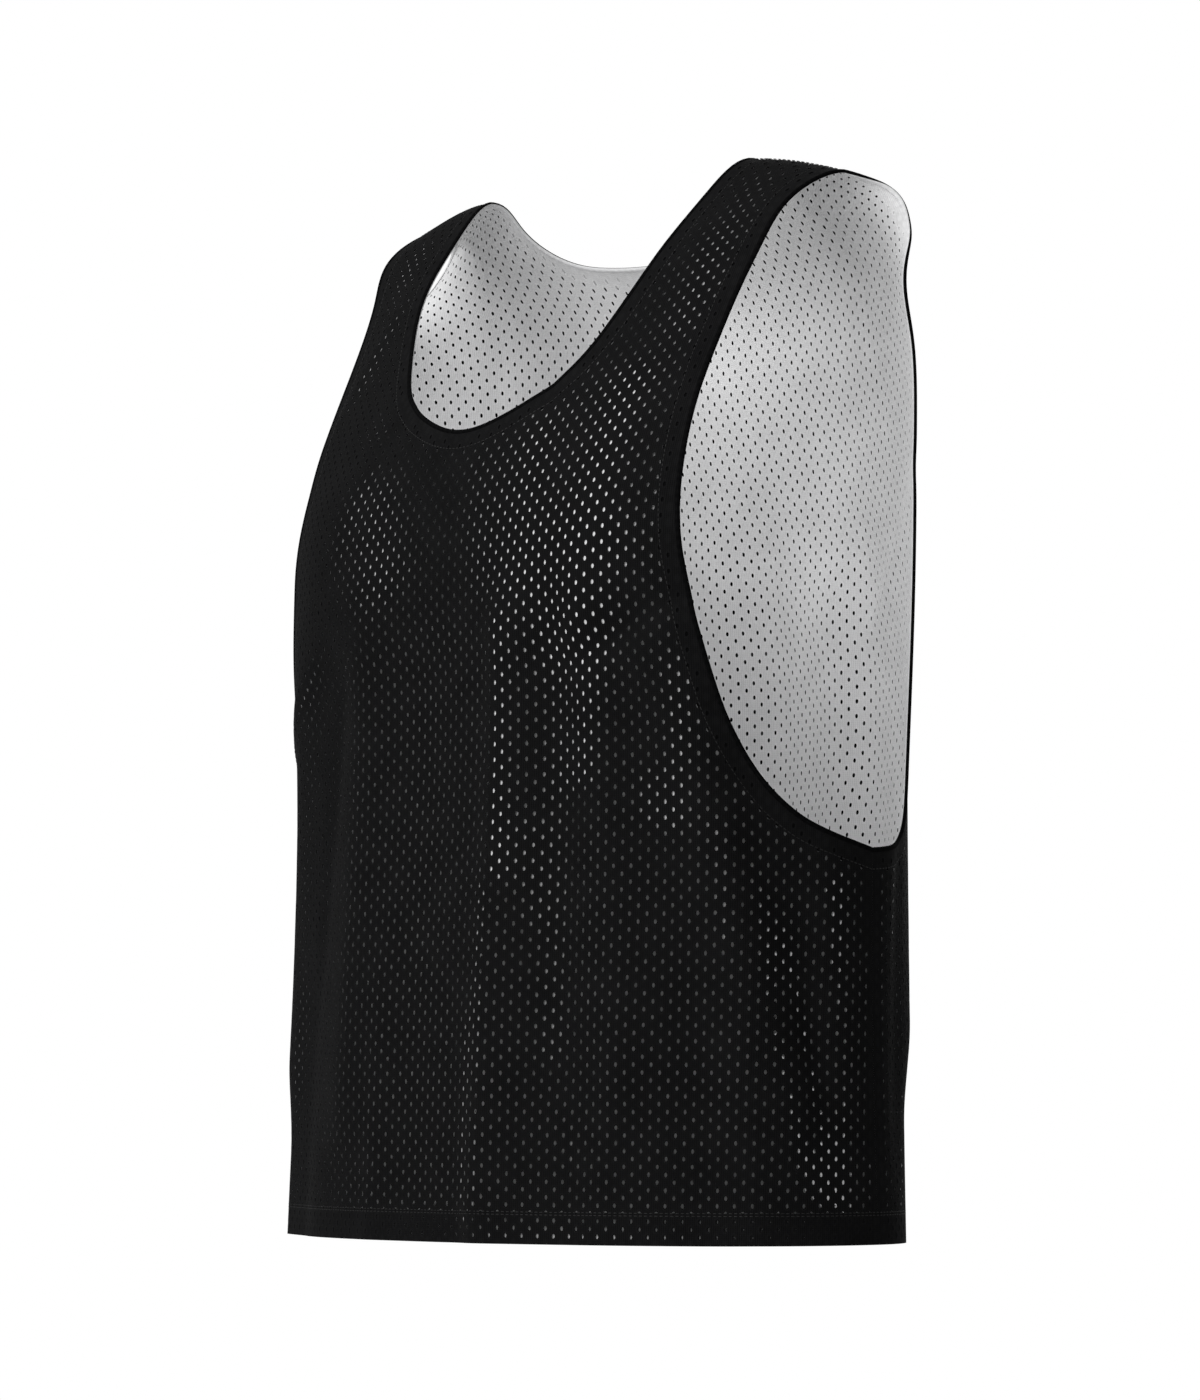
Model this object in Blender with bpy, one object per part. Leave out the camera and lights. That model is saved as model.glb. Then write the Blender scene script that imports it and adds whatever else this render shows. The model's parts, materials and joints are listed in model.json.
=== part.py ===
"""Lacrosse pinnie: a sleeveless, reversible two-layer vest in open mesh, worn and hollow.

Metres, +Z up. +X is the wearer's left and -Y is the front. The origin is the shoulders'
mount, where a wearer's shoulders carry the vest.

Every panel is laid out in its own cut, by two cloth distances: `out`, sideways from the
centre line, and `up`, from the hem. `Panel.worn` carries that cut onto the worn shape.
"""

from collections import namedtuple
from math import pi

import bmesh
import bpy
import numpy as np
from mathutils.geometry import delaunay_2d_cdt

# ---------------------------------------------------------------- driving dimensions
SHOULDER_UP = 0.675        # cloth from the hem to the shoulder seam
MOUNT_HEIGHT = 0.640       # the shoulders' mount above the hem
MOUNT_BACK = 0.030         # and behind the body's axis
HIGHER_SHOULDER = 0.010    # the right shoulder sits this much higher than the left,
SLID_STRAP = 0.006         # with its strap slid inward
SHIFT_OUT = 0.070          # both begin this far from the centre line
SHIFT_UP = 0.450           # and this far above the hem
CLOTH = 0.0011             # one layer of mesh, with its surface texture
SEAM_GAP = 0.0003          # between pieces that meet
ROLL_GAP = 0.0010          # between a cut edge and the turned edge past it
ROLL_THICK = 0.0034        # the turned edge at neck and armholes, through the cloth
ROLL_WIDE = 0.0030         # and across it
ROLL_SIDES = 6
LATTICE = 0.021            # spacing of the panels' points
EDGE_STEP = 0.018          # and of the points along their edges
EDGE_CLEAR = 0.55          # share of the spacing that stays free beside an edge
OUTLINE_SAMPLES = 361      # along a quarter of a level section
SLOPE_REACH = 0.0002       # cloth distance over which a slope is read

# Each row is a level section of the worn vest. `up` is its place in the cut, `height` its
# height over the hem, `middle` and `side` the places (y) of its centre line and its side,
# `squareness` its superellipse power, and `fall` its drop from the neck to the strap's end.
Section = namedtuple("Section", "name up height half_width middle side squareness fall")
FRONT_SECTIONS = [
    Section("hem",      0.000, 0.003, 0.223, -0.142, -0.001, 2.08, 0.000),
    Section("hip",      0.120, 0.120, 0.219, -0.138,  0.000, 2.08, 0.000),
    Section("underarm", 0.235, 0.235, 0.218, -0.132,  0.002, 2.15, 0.000),
    Section("ribs",     0.330, 0.330, 0.219, -0.129,  0.005, 2.40, 0.000),
    Section("chest",    0.410, 0.410, 0.222, -0.129,  0.006, 2.48, 0.000),
    Section("breast",   0.470, 0.470, 0.226, -0.116,  0.012, 2.34, 0.000),
    Section("collar",   0.530, 0.526, 0.229, -0.087,  0.033, 2.40, 0.000),
    Section("strap",    0.590, 0.578, 0.234, -0.058,  0.042, 2.40, 0.002),
    Section("shoulder", 0.640, 0.619, 0.240, -0.020,  0.025, 2.40, 0.008),
    Section("ridge",    0.675, 0.643, 0.240,  0.007,  0.130, 2.40, 0.016),
]
BACK_SECTIONS = [
    Section("hem",      0.000, 0.003, 0.223,  0.109, -0.001, 2.02, 0.000),
    Section("hip",      0.120, 0.120, 0.219,  0.114,  0.000, 2.02, 0.000),
    Section("underarm", 0.235, 0.235, 0.218,  0.117,  0.002, 2.06, 0.000),
    Section("ribs",     0.330, 0.330, 0.220,  0.121,  0.005, 2.08, 0.000),
    Section("chest",    0.410, 0.410, 0.222,  0.120,  0.008, 2.10, 0.000),
    Section("breast",   0.470, 0.470, 0.222,  0.116,  0.013, 2.10, 0.000),
    Section("collar",   0.530, 0.530, 0.220,  0.106,  0.018, 2.12, 0.000),
    Section("strap",    0.590, 0.588, 0.216,  0.089,  0.026, 2.20, 0.006),
    Section("shoulder", 0.640, 0.628, 0.240,  0.037,  0.088, 2.40, 0.011),
    Section("ridge",    0.675, 0.643, 0.240,  0.007,  0.130, 2.40, 0.016),
]
NECK_HALF = 0.100          # the shoulders start to fall this far out
STRAP_HALF = 0.178         # and have the table's fall at this distance
BACK_SLIDE = 0.015         # the back hangs this much toward the wearer's right, at the arms:
SLIDE_UP = 0.300           # from this far above the hem
SLIDE_GROWS = 0.200        # it grows over this length
SLIDE_ENDS = 0.060         # and fades over this one below the shoulder seam
RIDGE_RUN = 0.9            # how level the cloth lies as it crosses the shoulder seam
SEAM_BLEND = 0.050         # band beside the side seam that is drawn onto one seam line,
SEAM_TOP = 0.330           # up to this far above the hem

# Pattern marks of the cut edges, from the side seam or the centre line to the shoulder.
Mark = namedtuple("Mark", "out up")
FRONT_ARMHOLE = [Mark(0.2620, 0.2310), Mark(0.2380, 0.2405), Mark(0.2095, 0.2655), Mark(0.1915, 0.2970),
                 Mark(0.1780, 0.3420), Mark(0.1680, 0.3900), Mark(0.1635, 0.4400), Mark(0.1620, 0.5000),
                 Mark(0.1640, 0.5600), Mark(0.1700, 0.6150), Mark(0.1730, SHOULDER_UP)]
BACK_ARMHOLE = [Mark(0.2580, 0.2265), Mark(0.2440, 0.2290), Mark(0.2310, 0.2350), Mark(0.2205, 0.2500),
                Mark(0.2165, 0.2800), Mark(0.2180, 0.3300), Mark(0.2230, 0.3900), Mark(0.2300, 0.4500),
                Mark(0.2345, 0.5050), Mark(0.2330, 0.5500), Mark(0.2250, 0.5950), Mark(0.2060, 0.6400),
                Mark(0.1730, SHOULDER_UP)]
ARMHOLE_FLOOR = 0.2255     # the armhole's lowest point, on the side seam
FRONT_NECK = [Mark(0.0000, 0.4770), Mark(0.0370, 0.4870), Mark(0.0690, 0.5095), Mark(0.0865, 0.5405),
              Mark(0.0995, 0.5790), Mark(0.1070, 0.6250), Mark(0.1150, SHOULDER_UP)]
BACK_NECK = [Mark(0.0000, 0.6060), Mark(0.0460, 0.6090), Mark(0.0800, 0.6190), Mark(0.1015, 0.6385),
             Mark(0.1150, SHOULDER_UP)]

# Soft folds: a ridge (depth over 0) or a trough (under 0) along a line in the cut.
Fold = namedtuple("Fold", "name out up to_out to_up width depth")
FRONT_FOLDS = [
    Fold("left chest",          0.120, 0.410,  0.105, 0.370, 0.045,  0.0050),
    Fold("right chest",        -0.115, 0.415, -0.100, 0.380, 0.045,  0.0050),
    Fold("centre ridge",        0.056, 0.345,  0.048, 0.020, 0.020,  0.0060),
    Fold("centre trough",       0.086, 0.350,  0.096, 0.120, 0.015, -0.0040),
    Fold("left ridge",          0.108, 0.360,  0.134, 0.120, 0.017,  0.0040),
    Fold("left armhole ridge",  0.158, 0.340,  0.226, 0.070, 0.021,  0.0055),
    Fold("left side crease",    0.200, 0.285,  0.240, 0.130, 0.015, -0.0040),
    Fold("left armhole dent",   0.160, 0.372,  0.128, 0.352, 0.013, -0.0030),
    Fold("left hem dent",       0.178, 0.120,  0.186, 0.030, 0.016, -0.0030),
    Fold("middle hem dent",     0.105, 0.070,  0.100, 0.000, 0.014, -0.0025),
    Fold("right trough",       -0.020, 0.320, -0.012, 0.030, 0.026, -0.0035),
    Fold("right ridge",        -0.070, 0.350, -0.082, 0.090, 0.022,  0.0045),
    Fold("right armhole ridge", -0.152, 0.335, -0.196, 0.110, 0.024, 0.0050),
    Fold("right side crease",  -0.205, 0.250, -0.228, 0.090, 0.018, -0.0040),
    Fold("right hem dent",     -0.140, 0.130, -0.150, 0.010, 0.018, -0.0030),
]
BACK_FOLDS = [
    Fold("left blade",          0.105, 0.490,  0.090, 0.430, 0.050,  0.0040),
    Fold("right blade",        -0.110, 0.485, -0.095, 0.430, 0.050,  0.0040),
    Fold("left ridge",          0.128, 0.400,  0.150, 0.060, 0.022,  0.0055),
    Fold("left trough",         0.090, 0.370,  0.104, 0.110, 0.020, -0.0045),
    Fold("left armhole ridge",  0.165, 0.330,  0.208, 0.130, 0.018,  0.0040),
    Fold("centre ridge",        0.030, 0.420,  0.042, 0.030, 0.024,  0.0050),
    Fold("centre trough",      -0.018, 0.400, -0.010, 0.080, 0.022, -0.0045),
    Fold("right ridge",        -0.074, 0.380, -0.066, 0.050, 0.022,  0.0050),
    Fold("right trough",       -0.118, 0.360, -0.126, 0.120, 0.020, -0.0040),
    Fold("right armhole ridge", -0.160, 0.340, -0.200, 0.080, 0.021, 0.0050),
]
FOLD_END = 0.060           # a fold fades out over this length past each end
SEAM_CALM = 0.035          # and within this distance of a side or shoulder seam

BLACK_MESH = ("BlackMesh", (0.012, 0.012, 0.013), 0.75)
WHITE_MESH = ("WhiteMesh", (0.62, 0.62, 0.63), 0.80)


# ---------------------------------------------------------------- the worn shape
def smoothstep(x):
    x = np.clip(x, 0.0, 1.0)
    return x * x * (3.0 - 2.0 * x)


def spline(knots, values, at, end_slope=None):
    """Cubic spline through values[k, i] at knots[k], read for each column i at at[i].

    It is natural at its start, and at its end unless end_slope gives the slope there."""
    knots, values = np.asarray(knots, float), np.asarray(values, float)
    count = len(knots)
    step = np.diff(knots)
    rise = np.diff(values, axis=0) / step.reshape(-1, 1, 1)
    matrix, bend = np.zeros((count, count)), np.zeros_like(values)
    matrix[0, 0] = matrix[-1, -1] = 1.0
    for k in range(1, count - 1):
        matrix[k, k - 1:k + 2] = step[k - 1], 2.0 * (step[k - 1] + step[k]), step[k]
        bend[k] = 6.0 * (rise[k] - rise[k - 1])
    if end_slope is not None:
        matrix[-1, -2:] = step[-1], 2.0 * step[-1]
        bend[-1] = 6.0 * (end_slope - rise[-1])
    bend = np.linalg.solve(matrix, bend.reshape(count, -1)).reshape(values.shape)
    column = np.arange(values.shape[1])
    k = np.clip(np.searchsorted(knots, at) - 1, 0, count - 2)
    past, left = (at - knots[k])[:, None], (knots[k + 1] - at)[:, None]
    span = step[k][:, None]
    low, high = values[k, column], values[k + 1, column]
    bend_low, bend_high = bend[k, column], bend[k + 1, column]
    return ((bend_low * left**3 + bend_high * past**3) / (6.0 * span)
            + (low / span - bend_low * span / 6.0) * left
            + (high / span - bend_high * span / 6.0) * past)


def quarter_outline(section):
    """Cloth length, x and share of the centre's depth, from the centre line to the side."""
    turn = np.linspace(0.0, pi / 2.0, OUTLINE_SAMPLES)
    x = section.half_width * np.sin(turn) ** (2.0 / section.squareness)
    share = np.cos(turn) ** (2.0 / section.squareness)
    depth = section.middle - section.side
    length = np.concatenate([[0.0], np.cumsum(np.hypot(np.diff(x), depth * np.diff(share)))])
    return length, x, share


def section_points(section, out):
    """Points of one section at the cloth distances `out`; past the side it runs straight on."""
    length, x, share = quarter_outline(section)
    distance = np.abs(out)
    across = np.interp(distance, length, x)
    depth = section.middle - section.side
    past = np.maximum(0.0, distance - length[-1]) * np.sign(depth)
    y = section.side + depth * np.interp(distance, length, share) - past
    z = section.height - section.fall * (np.maximum(0.0, across - NECK_HALF)
                                         / (STRAP_HALF - NECK_HALF)) ** 2
    return np.stack([np.sign(out) * across, y, z], axis=-1)


def side_seam_out(sections, up):
    """Cloth distance from the centre line to the side seam."""
    quarter = [[[quarter_outline(s)[0][-1]]] for s in sections]
    return spline([s.up for s in sections], np.repeat(quarter, len(up), axis=1), up)[:, 0]


def side_seam_points(up):
    """The side seam's line, the same one for front and back."""
    rows = [[[s.half_width, s.side, s.height]] for s in FRONT_SECTIONS]
    return spline([s.up for s in FRONT_SECTIONS], np.repeat(rows, len(up), axis=1), up)


def fold_height(folds, out, up, seam_out):
    """How far the folds lift the cloth outward."""
    lift = np.zeros_like(out)
    for fold in folds:
        run = np.array([fold.to_out - fold.out, fold.to_up - fold.up])
        long = np.hypot(*run)
        along = ((out - fold.out) * run[0] + (up - fold.up) * run[1]) / long
        aside = ((out - fold.out) * run[1] - (up - fold.up) * run[0]) / long
        ends = smoothstep(1.0 + along / FOLD_END) * smoothstep(1.0 + (long - along) / FOLD_END)
        lift += fold.depth * ends * np.exp(-((aside / fold.width) ** 2))
    calm = smoothstep((seam_out - np.abs(out)) / SEAM_CALM)
    return lift * calm * smoothstep((SHOULDER_UP - up) / SEAM_CALM)


def smooth_points(sections, out, up):
    """The worn shape without its folds, from the hem's centre and the body's axis."""
    knots = [s.up for s in sections]
    toward_ridge = -np.sign(sections[0].middle)
    over = np.zeros((len(out), 3))
    over[:, 1] = toward_ridge * RIDGE_RUN

    def read(at_out):
        rows = np.stack([section_points(s, at_out) for s in sections])
        return spline(knots, rows, up, over)

    points = read(out)
    seam_out = side_seam_out(sections, up)
    side = np.sign(out)
    seam = side_seam_points(up) * np.stack([side, np.ones_like(side), np.ones_like(side)], axis=-1)
    beside = smoothstep((np.abs(out) - seam_out + SEAM_BLEND) / SEAM_BLEND)
    below_arm = smoothstep((SEAM_TOP - up) / SEAM_BLEND)
    points += (seam - read(side * seam_out)) * (beside * below_arm)[:, None]
    right = smoothstep((-out - SHIFT_OUT) / NECK_HALF)
    right = right * smoothstep((up - SHIFT_UP) / (SHOULDER_UP - SHIFT_UP))
    points += right[:, None] * (SLID_STRAP, 0.0, HIGHER_SHOULDER)
    return points


def normals_of(shape, out, up, outward):
    """Unit normals of shape(out, up), by its slopes along and across the cut."""
    along = shape(out + SLOPE_REACH, up) - shape(out - SLOPE_REACH, up)
    upward = shape(out, up + SLOPE_REACH) - shape(out, up - SLOPE_REACH)
    normal = np.cross(along, upward) * outward
    return normal / np.linalg.norm(normal, axis=1)[:, None]


class Panel:
    """One of the two cut shapes: its sections, folds, edges, and which way is outward."""

    def __init__(self, sections, folds, armhole, neck, outward, slide):
        self.sections, self.folds = sections, folds
        self.armhole, self.neck = armhole, neck
        self.outward, self.slide = outward, slide

    def unfolded(self, out, up):
        at_arms = smoothstep((up - SLIDE_UP) / SLIDE_GROWS)
        at_arms = at_arms * smoothstep((SHOULDER_UP - up) / SLIDE_ENDS)
        return smooth_points(self.sections, out - self.slide * at_arms, up)

    def folded(self, out, up):
        seam_out = side_seam_out(self.sections, up)
        lift = fold_height(self.folds, out, up, seam_out)
        normal = normals_of(self.unfolded, out, up, self.outward)
        return self.unfolded(out, up) + normal * lift[:, None]

    def worn(self, out, up):
        """Points and outward normals on the middle surface between the two layers."""
        out, up = np.asarray(out, float), np.asarray(up, float)
        points = self.folded(out, up) - np.array([0.0, MOUNT_BACK, MOUNT_HEIGHT])
        return points, normals_of(self.folded, out, up, self.outward)


FRONT = Panel(FRONT_SECTIONS, FRONT_FOLDS, FRONT_ARMHOLE, FRONT_NECK, 1.0, 0.0)
BACK = Panel(BACK_SECTIONS, BACK_FOLDS, BACK_ARMHOLE, BACK_NECK, -1.0, BACK_SLIDE)


# ---------------------------------------------------------------- the cut
def along_marks(marks, step):
    """Evenly spaced (out, up) points on a smooth line through the marks."""
    marks = np.array(marks, float)
    knots = np.concatenate([[0.0], np.cumsum(np.linalg.norm(np.diff(marks, axis=0), axis=1))])
    count = max(2, round(knots[-1] / step) + 1)
    at = np.linspace(0.0, knots[-1], count)
    return spline(knots, np.repeat(marks[:, None, :], count, axis=1), at)


def armhole_line(panel):
    """From the side seam's top to the shoulder seam."""
    floor_out = side_seam_out(panel.sections, np.array([ARMHOLE_FLOOR]))[0]
    return along_marks([(floor_out, ARMHOLE_FLOOR)] + panel.armhole, EDGE_STEP)


def neck_line(panel):
    """From the right shoulder seam through the centre line to the left one."""
    mirrored = [(-mark.out, mark.up) for mark in panel.neck[:0:-1]]
    return along_marks(mirrored + panel.neck, EDGE_STEP)


def straight(start, end, step):
    count = max(2, round(np.hypot(*np.subtract(end, start)) / step) + 1)
    return np.linspace(start, end, count)


def cut_outline(panel):
    """The panel's cut as one closed line, half a seam gap inside its side and shoulder seams."""
    half = SEAM_GAP / 2.0
    hem_out = side_seam_out(panel.sections, np.array([0.0]))[0]
    armhole, neck = armhole_line(panel), neck_line(panel)
    side_up = np.linspace(0.0, ARMHOLE_FLOOR, round(ARMHOLE_FLOOR / EDGE_STEP) + 1)
    side = np.stack([side_seam_out(panel.sections, side_up) - half, side_up], axis=-1)
    armhole[0, 0] -= half
    armhole[-1, 1] -= half
    neck[[0, -1], 1] -= half
    shoulder = straight(armhole[-1], neck[-1], EDGE_STEP)
    left = np.concatenate([side[1:], armhole[1:], shoulder[1:-1]])
    right = left[::-1] * (-1.0, 1.0)
    hem = straight((-hem_out + half, 0.0), (hem_out - half, 0.0), EDGE_STEP)
    return np.concatenate([hem, left, neck[::-1], right])


def inside_distance(points, outline):
    """Distance of each point from the outline, below 0 outside it."""
    start, end = outline, np.roll(outline, -1, axis=0)
    edge = end - start
    offset = points[:, None, :] - start
    share = np.clip((offset * edge).sum(-1) / (edge**2).sum(-1), 0.0, 1.0)
    nearest = np.linalg.norm(offset - share[..., None] * edge, axis=-1).min(axis=1)
    above = (start[:, 1] > points[:, 1:2]) != (end[:, 1] > points[:, 1:2])
    rise = np.where(edge[:, 1] == 0.0, 1.0, edge[:, 1])
    crossing = start[:, 0] + (points[:, 1:2] - start[:, 1]) * edge[:, 0] / rise
    inside = (above & (points[:, 0:1] < crossing)).sum(axis=1) % 2 == 1
    return np.where(inside, nearest, -nearest)


def cut_triangles(outline):
    """The cut filled with nearly equal triangles, anticlockwise in (out, up)."""
    row = LATTICE * 3.0**0.5 / 2.0
    low, high = outline.min(axis=0), outline.max(axis=0)
    points = []
    for j in range(1, int((high[1] - low[1]) / row) + 1):
        half_count = int(high[0] / LATTICE) + 1
        for i in range(-half_count, half_count + 1):
            points.append(((i + 0.5 * (j % 2)) * LATTICE, low[1] + j * row))
    points = np.array(points)
    points = points[inside_distance(points, outline) > EDGE_CLEAR * LATTICE]
    corners = [tuple(p) for p in np.concatenate([outline, points])]
    loop = list(range(len(outline)))
    verts, _, faces, *_ = delaunay_2d_cdt(corners, [], [loop], 1, 1e-7)
    return np.array([tuple(v) for v in verts]), faces


# ---------------------------------------------------------------- solids
def material(finish):
    name, colour, roughness = finish
    made = bpy.data.materials.get(name) or bpy.data.materials.new(name)
    made.use_nodes = True
    shader = made.node_tree.nodes["Principled BSDF"]
    shader.inputs["Base Color"].default_value = (*colour, 1.0)
    shader.inputs["Roughness"].default_value = roughness
    shader.inputs["Metallic"].default_value = 0.0
    return made


def add_object(name, mesh_maker, finish):
    made = bmesh.new()
    mesh_maker(made)
    bmesh.ops.recalc_face_normals(made, faces=made.faces)
    mesh = bpy.data.meshes.new(name)
    made.to_mesh(mesh)
    made.free()
    mesh.shade_smooth()
    mesh.set_sharp_from_angle(angle=pi / 4.0)
    mesh.materials.append(material(finish))
    thing = bpy.data.objects.new(name, mesh)
    bpy.context.scene.collection.objects.link(thing)
    return thing


def cloth_wall(name, panel, inner_face, finish):
    """One layer of a panel: a wall from inner_face to inner_face + CLOTH off its middle surface."""
    cut, triangles = cut_triangles(cut_outline(panel))
    points, normals = panel.worn(cut[:, 0], cut[:, 1])

    def fill(made):
        outside = [made.verts.new(p) for p in points + normals * (inner_face + CLOTH)]
        inside = [made.verts.new(p) for p in points + normals * inner_face]
        for a, b, c in triangles:
            made.faces.new((outside[a], outside[b], outside[c]))
            made.faces.new((inside[c], inside[b], inside[a]))
        count = {}
        for a, b, c in triangles:
            for edge in ((a, b), (b, c), (c, a)):
                count[frozenset(edge)] = count.get(frozenset(edge), 0) + 1
        for edge in (tuple(e) for e, used in count.items() if used == 1):
            made.faces.new((outside[edge[0]], outside[edge[1]], inside[edge[1]], inside[edge[0]]))

    return add_object(name, fill, finish)


def edge_roll(name, runs, finish):
    """A closed roll just past the cut edges that the runs follow, one after the other."""
    points = np.concatenate([run[0] for run in runs])
    normals = np.concatenate([run[1] for run in runs])
    tangent = np.roll(points, -1, axis=0) - np.roll(points, 1, axis=0)
    tangent /= np.linalg.norm(tangent, axis=1)[:, None]
    past_edge = np.cross(normals, tangent)
    past_edge /= np.linalg.norm(past_edge, axis=1)[:, None]
    through = np.cross(tangent, past_edge)
    centre = points + past_edge * (ROLL_GAP + ROLL_WIDE / 2.0)

    def fill(made):
        rings = []
        for c, e, n in zip(centre, past_edge, through):
            ring = []
            for k in range(ROLL_SIDES):
                turn = 2.0 * pi * (k + 0.5) / ROLL_SIDES
                ring.append(made.verts.new(c + e * (np.cos(turn) * ROLL_WIDE / 2.0)
                                           + n * (np.sin(turn) * ROLL_THICK / 2.0)))
            rings.append(ring)
        for ring, following in zip(rings, rings[1:] + rings[:1]):
            for k in range(ROLL_SIDES):
                m = (k + 1) % ROLL_SIDES
                made.faces.new((ring[k], ring[m], following[m], following[k]))

    return add_object(name, fill, finish)


def neck_roll():
    front, back = neck_line(FRONT), neck_line(BACK)
    runs = [FRONT.worn(front[:, 0], front[:, 1]),
            BACK.worn(back[-2:0:-1, 0], back[-2:0:-1, 1])]
    edge_roll("neck_edge", runs, BLACK_MESH)


def armhole_roll(name, side):
    front, back = armhole_line(FRONT), armhole_line(BACK)
    runs = [FRONT.worn(side * front[::-1, 0], front[::-1, 1]),
            BACK.worn(side * back[1:-1, 0], back[1:-1, 1])]
    if side < 0.0:
        runs = [(points[::-1], normals[::-1]) for points, normals in runs[::-1]]
    edge_roll(name, runs, BLACK_MESH)


def main():
    for thing in list(bpy.data.objects):
        bpy.data.objects.remove(thing, do_unlink=True)
    outer_face, inner_face = SEAM_GAP / 2.0, -SEAM_GAP / 2.0 - CLOTH
    for panel, place in ((FRONT, "front"), (BACK, "back")):
        cloth_wall(place + "_outer", panel, outer_face, BLACK_MESH)
        cloth_wall(place + "_inner", panel, inner_face, WHITE_MESH)
    neck_roll()
    armhole_roll("armhole_edge_left", 1.0)
    armhole_roll("armhole_edge_right", -1.0)


main()
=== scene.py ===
# %% [markdown]
# # A reversible mesh pinnie
# This lesson dresses a sleeveless two-layer sports vest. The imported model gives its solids: four
# cloth walls and three turned edges, all in one body. Here each wall becomes real mesh, with
# thousands of holes, and gets its hems, facings and stitches. Everything is in metres. +X is the
# wearer's left, -Y the front, +Z up, and the origin lies between the shoulders.

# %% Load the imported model
import json
from collections import namedtuple
from math import cos, pi, radians, sin

import bmesh
import bpy
import numpy as np
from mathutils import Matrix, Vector
from mathutils.geometry import delaunay_2d_cdt

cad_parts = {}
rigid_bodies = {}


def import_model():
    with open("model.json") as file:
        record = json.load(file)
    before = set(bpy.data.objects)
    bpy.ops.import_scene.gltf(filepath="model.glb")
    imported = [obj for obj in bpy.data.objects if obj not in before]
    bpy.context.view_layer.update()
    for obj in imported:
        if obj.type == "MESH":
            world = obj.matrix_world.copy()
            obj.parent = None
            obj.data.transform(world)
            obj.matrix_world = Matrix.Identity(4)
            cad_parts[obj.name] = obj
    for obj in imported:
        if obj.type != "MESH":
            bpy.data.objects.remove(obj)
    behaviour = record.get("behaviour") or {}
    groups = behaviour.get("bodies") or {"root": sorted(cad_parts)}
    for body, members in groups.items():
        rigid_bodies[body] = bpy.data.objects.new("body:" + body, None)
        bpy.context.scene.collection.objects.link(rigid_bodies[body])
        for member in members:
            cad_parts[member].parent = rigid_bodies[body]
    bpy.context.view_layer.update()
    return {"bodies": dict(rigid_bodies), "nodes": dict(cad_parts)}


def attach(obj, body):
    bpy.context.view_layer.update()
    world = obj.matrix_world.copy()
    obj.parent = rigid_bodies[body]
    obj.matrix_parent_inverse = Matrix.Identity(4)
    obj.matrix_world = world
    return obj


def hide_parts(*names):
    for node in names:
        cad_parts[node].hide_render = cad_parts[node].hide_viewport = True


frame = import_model()
BODY = next(iter(frame["bodies"]))
print("body", BODY, "nodes", sorted(frame["nodes"]))

# %% [markdown]
# ## The camera
# A vest looks most like itself at the height of its own middle, from far enough away that its
# near side isn't swollen. This camera stands 2.8 m off, toward the wearer's front left, a little
# below the middle, and tilts up. A long lens keeps the sides nearly parallel.

# %% Place the camera
MOUNT_HEIGHT = 0.640       # the shoulders' mount above the hem
MOUNT_BACK = 0.030         # and behind the body's axis
CAMERA_AWAY = 2.80         # from the body's axis
CAMERA_TURN = 45.0         # degrees from the front toward the wearer's left
CAMERA_OVER_HEM = 0.0845
TILT_UP = 4.92             # degrees
LENS, SENSOR = 119.5, 36.0   # millimetres

camera = bpy.data.objects.new("Camera", bpy.data.cameras.new("Camera"))
bpy.context.scene.collection.objects.link(camera)
bpy.context.scene.camera = camera
camera.data.lens = LENS
camera.data.sensor_width = SENSOR
turn = radians(CAMERA_TURN)
camera.location = (sin(turn) * CAMERA_AWAY, -cos(turn) * CAMERA_AWAY - MOUNT_BACK,
                   CAMERA_OVER_HEM - MOUNT_HEIGHT)
camera.rotation_euler = (radians(90.0 + TILT_UP), 0.0, turn)
print("camera at", [round(c, 3) for c in camera.location])

# %% [markdown]
# ## The studio
# Black cloth shows its folds only where light grazes it, and white cloth where the light falls
# off. So a large soft lamp stands in front, a second one hangs high on the wearer's right and
# reaches in through the neck, and a weak one behind keeps the back readable. The world is plain
# white to look at and lights the cloth a little from all round. The floor lies far below the
# hem, because a wearer's shoulders carry the vest.

# %% Light the studio
WORLD_SEEN, WORLD_LIGHT = 1.0, 0.26
LAMPS_AIM = Vector((0.0, 0.0, -0.30))
FLOOR_BELOW_HEM = 0.95
FLOOR_RADIUS, FLOOR_SIDES = 9.0, 96

world = bpy.data.worlds.new("Studio")
bpy.context.scene.world = world
world.use_nodes = True
nodes, links = world.node_tree.nodes, world.node_tree.links
nodes.clear()
seen, lighting = nodes.new("ShaderNodeBackground"), nodes.new("ShaderNodeBackground")
seen.inputs["Color"].default_value = lighting.inputs["Color"].default_value = (1.0, 1.0, 1.0, 1.0)
seen.inputs["Strength"].default_value = WORLD_SEEN
lighting.inputs["Strength"].default_value = WORLD_LIGHT
ray, choose = nodes.new("ShaderNodeLightPath"), nodes.new("ShaderNodeMixShader")
links.new(ray.outputs["Is Camera Ray"], choose.inputs[0])
links.new(lighting.outputs[0], choose.inputs[1])
links.new(seen.outputs[0], choose.inputs[2])
links.new(choose.outputs[0], nodes.new("ShaderNodeOutputWorld").inputs[0])
bpy.context.scene.view_settings.view_transform = "Standard"


def soft_lamp(name, azimuth, away, height, size, power):
    """A square lamp aimed at the vest's middle. Azimuth turns from the front to the left."""
    data = bpy.data.lights.new(name, "AREA")
    data.energy, data.size = power, size
    lamp = bpy.data.objects.new(name, data)
    bpy.context.scene.collection.objects.link(lamp)
    turn = radians(azimuth)
    lamp.location = (sin(turn) * away, -cos(turn) * away, height)
    aim = LAMPS_AIM - lamp.location
    lamp.rotation_euler = aim.to_track_quat("-Z", "Y").to_euler()


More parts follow.
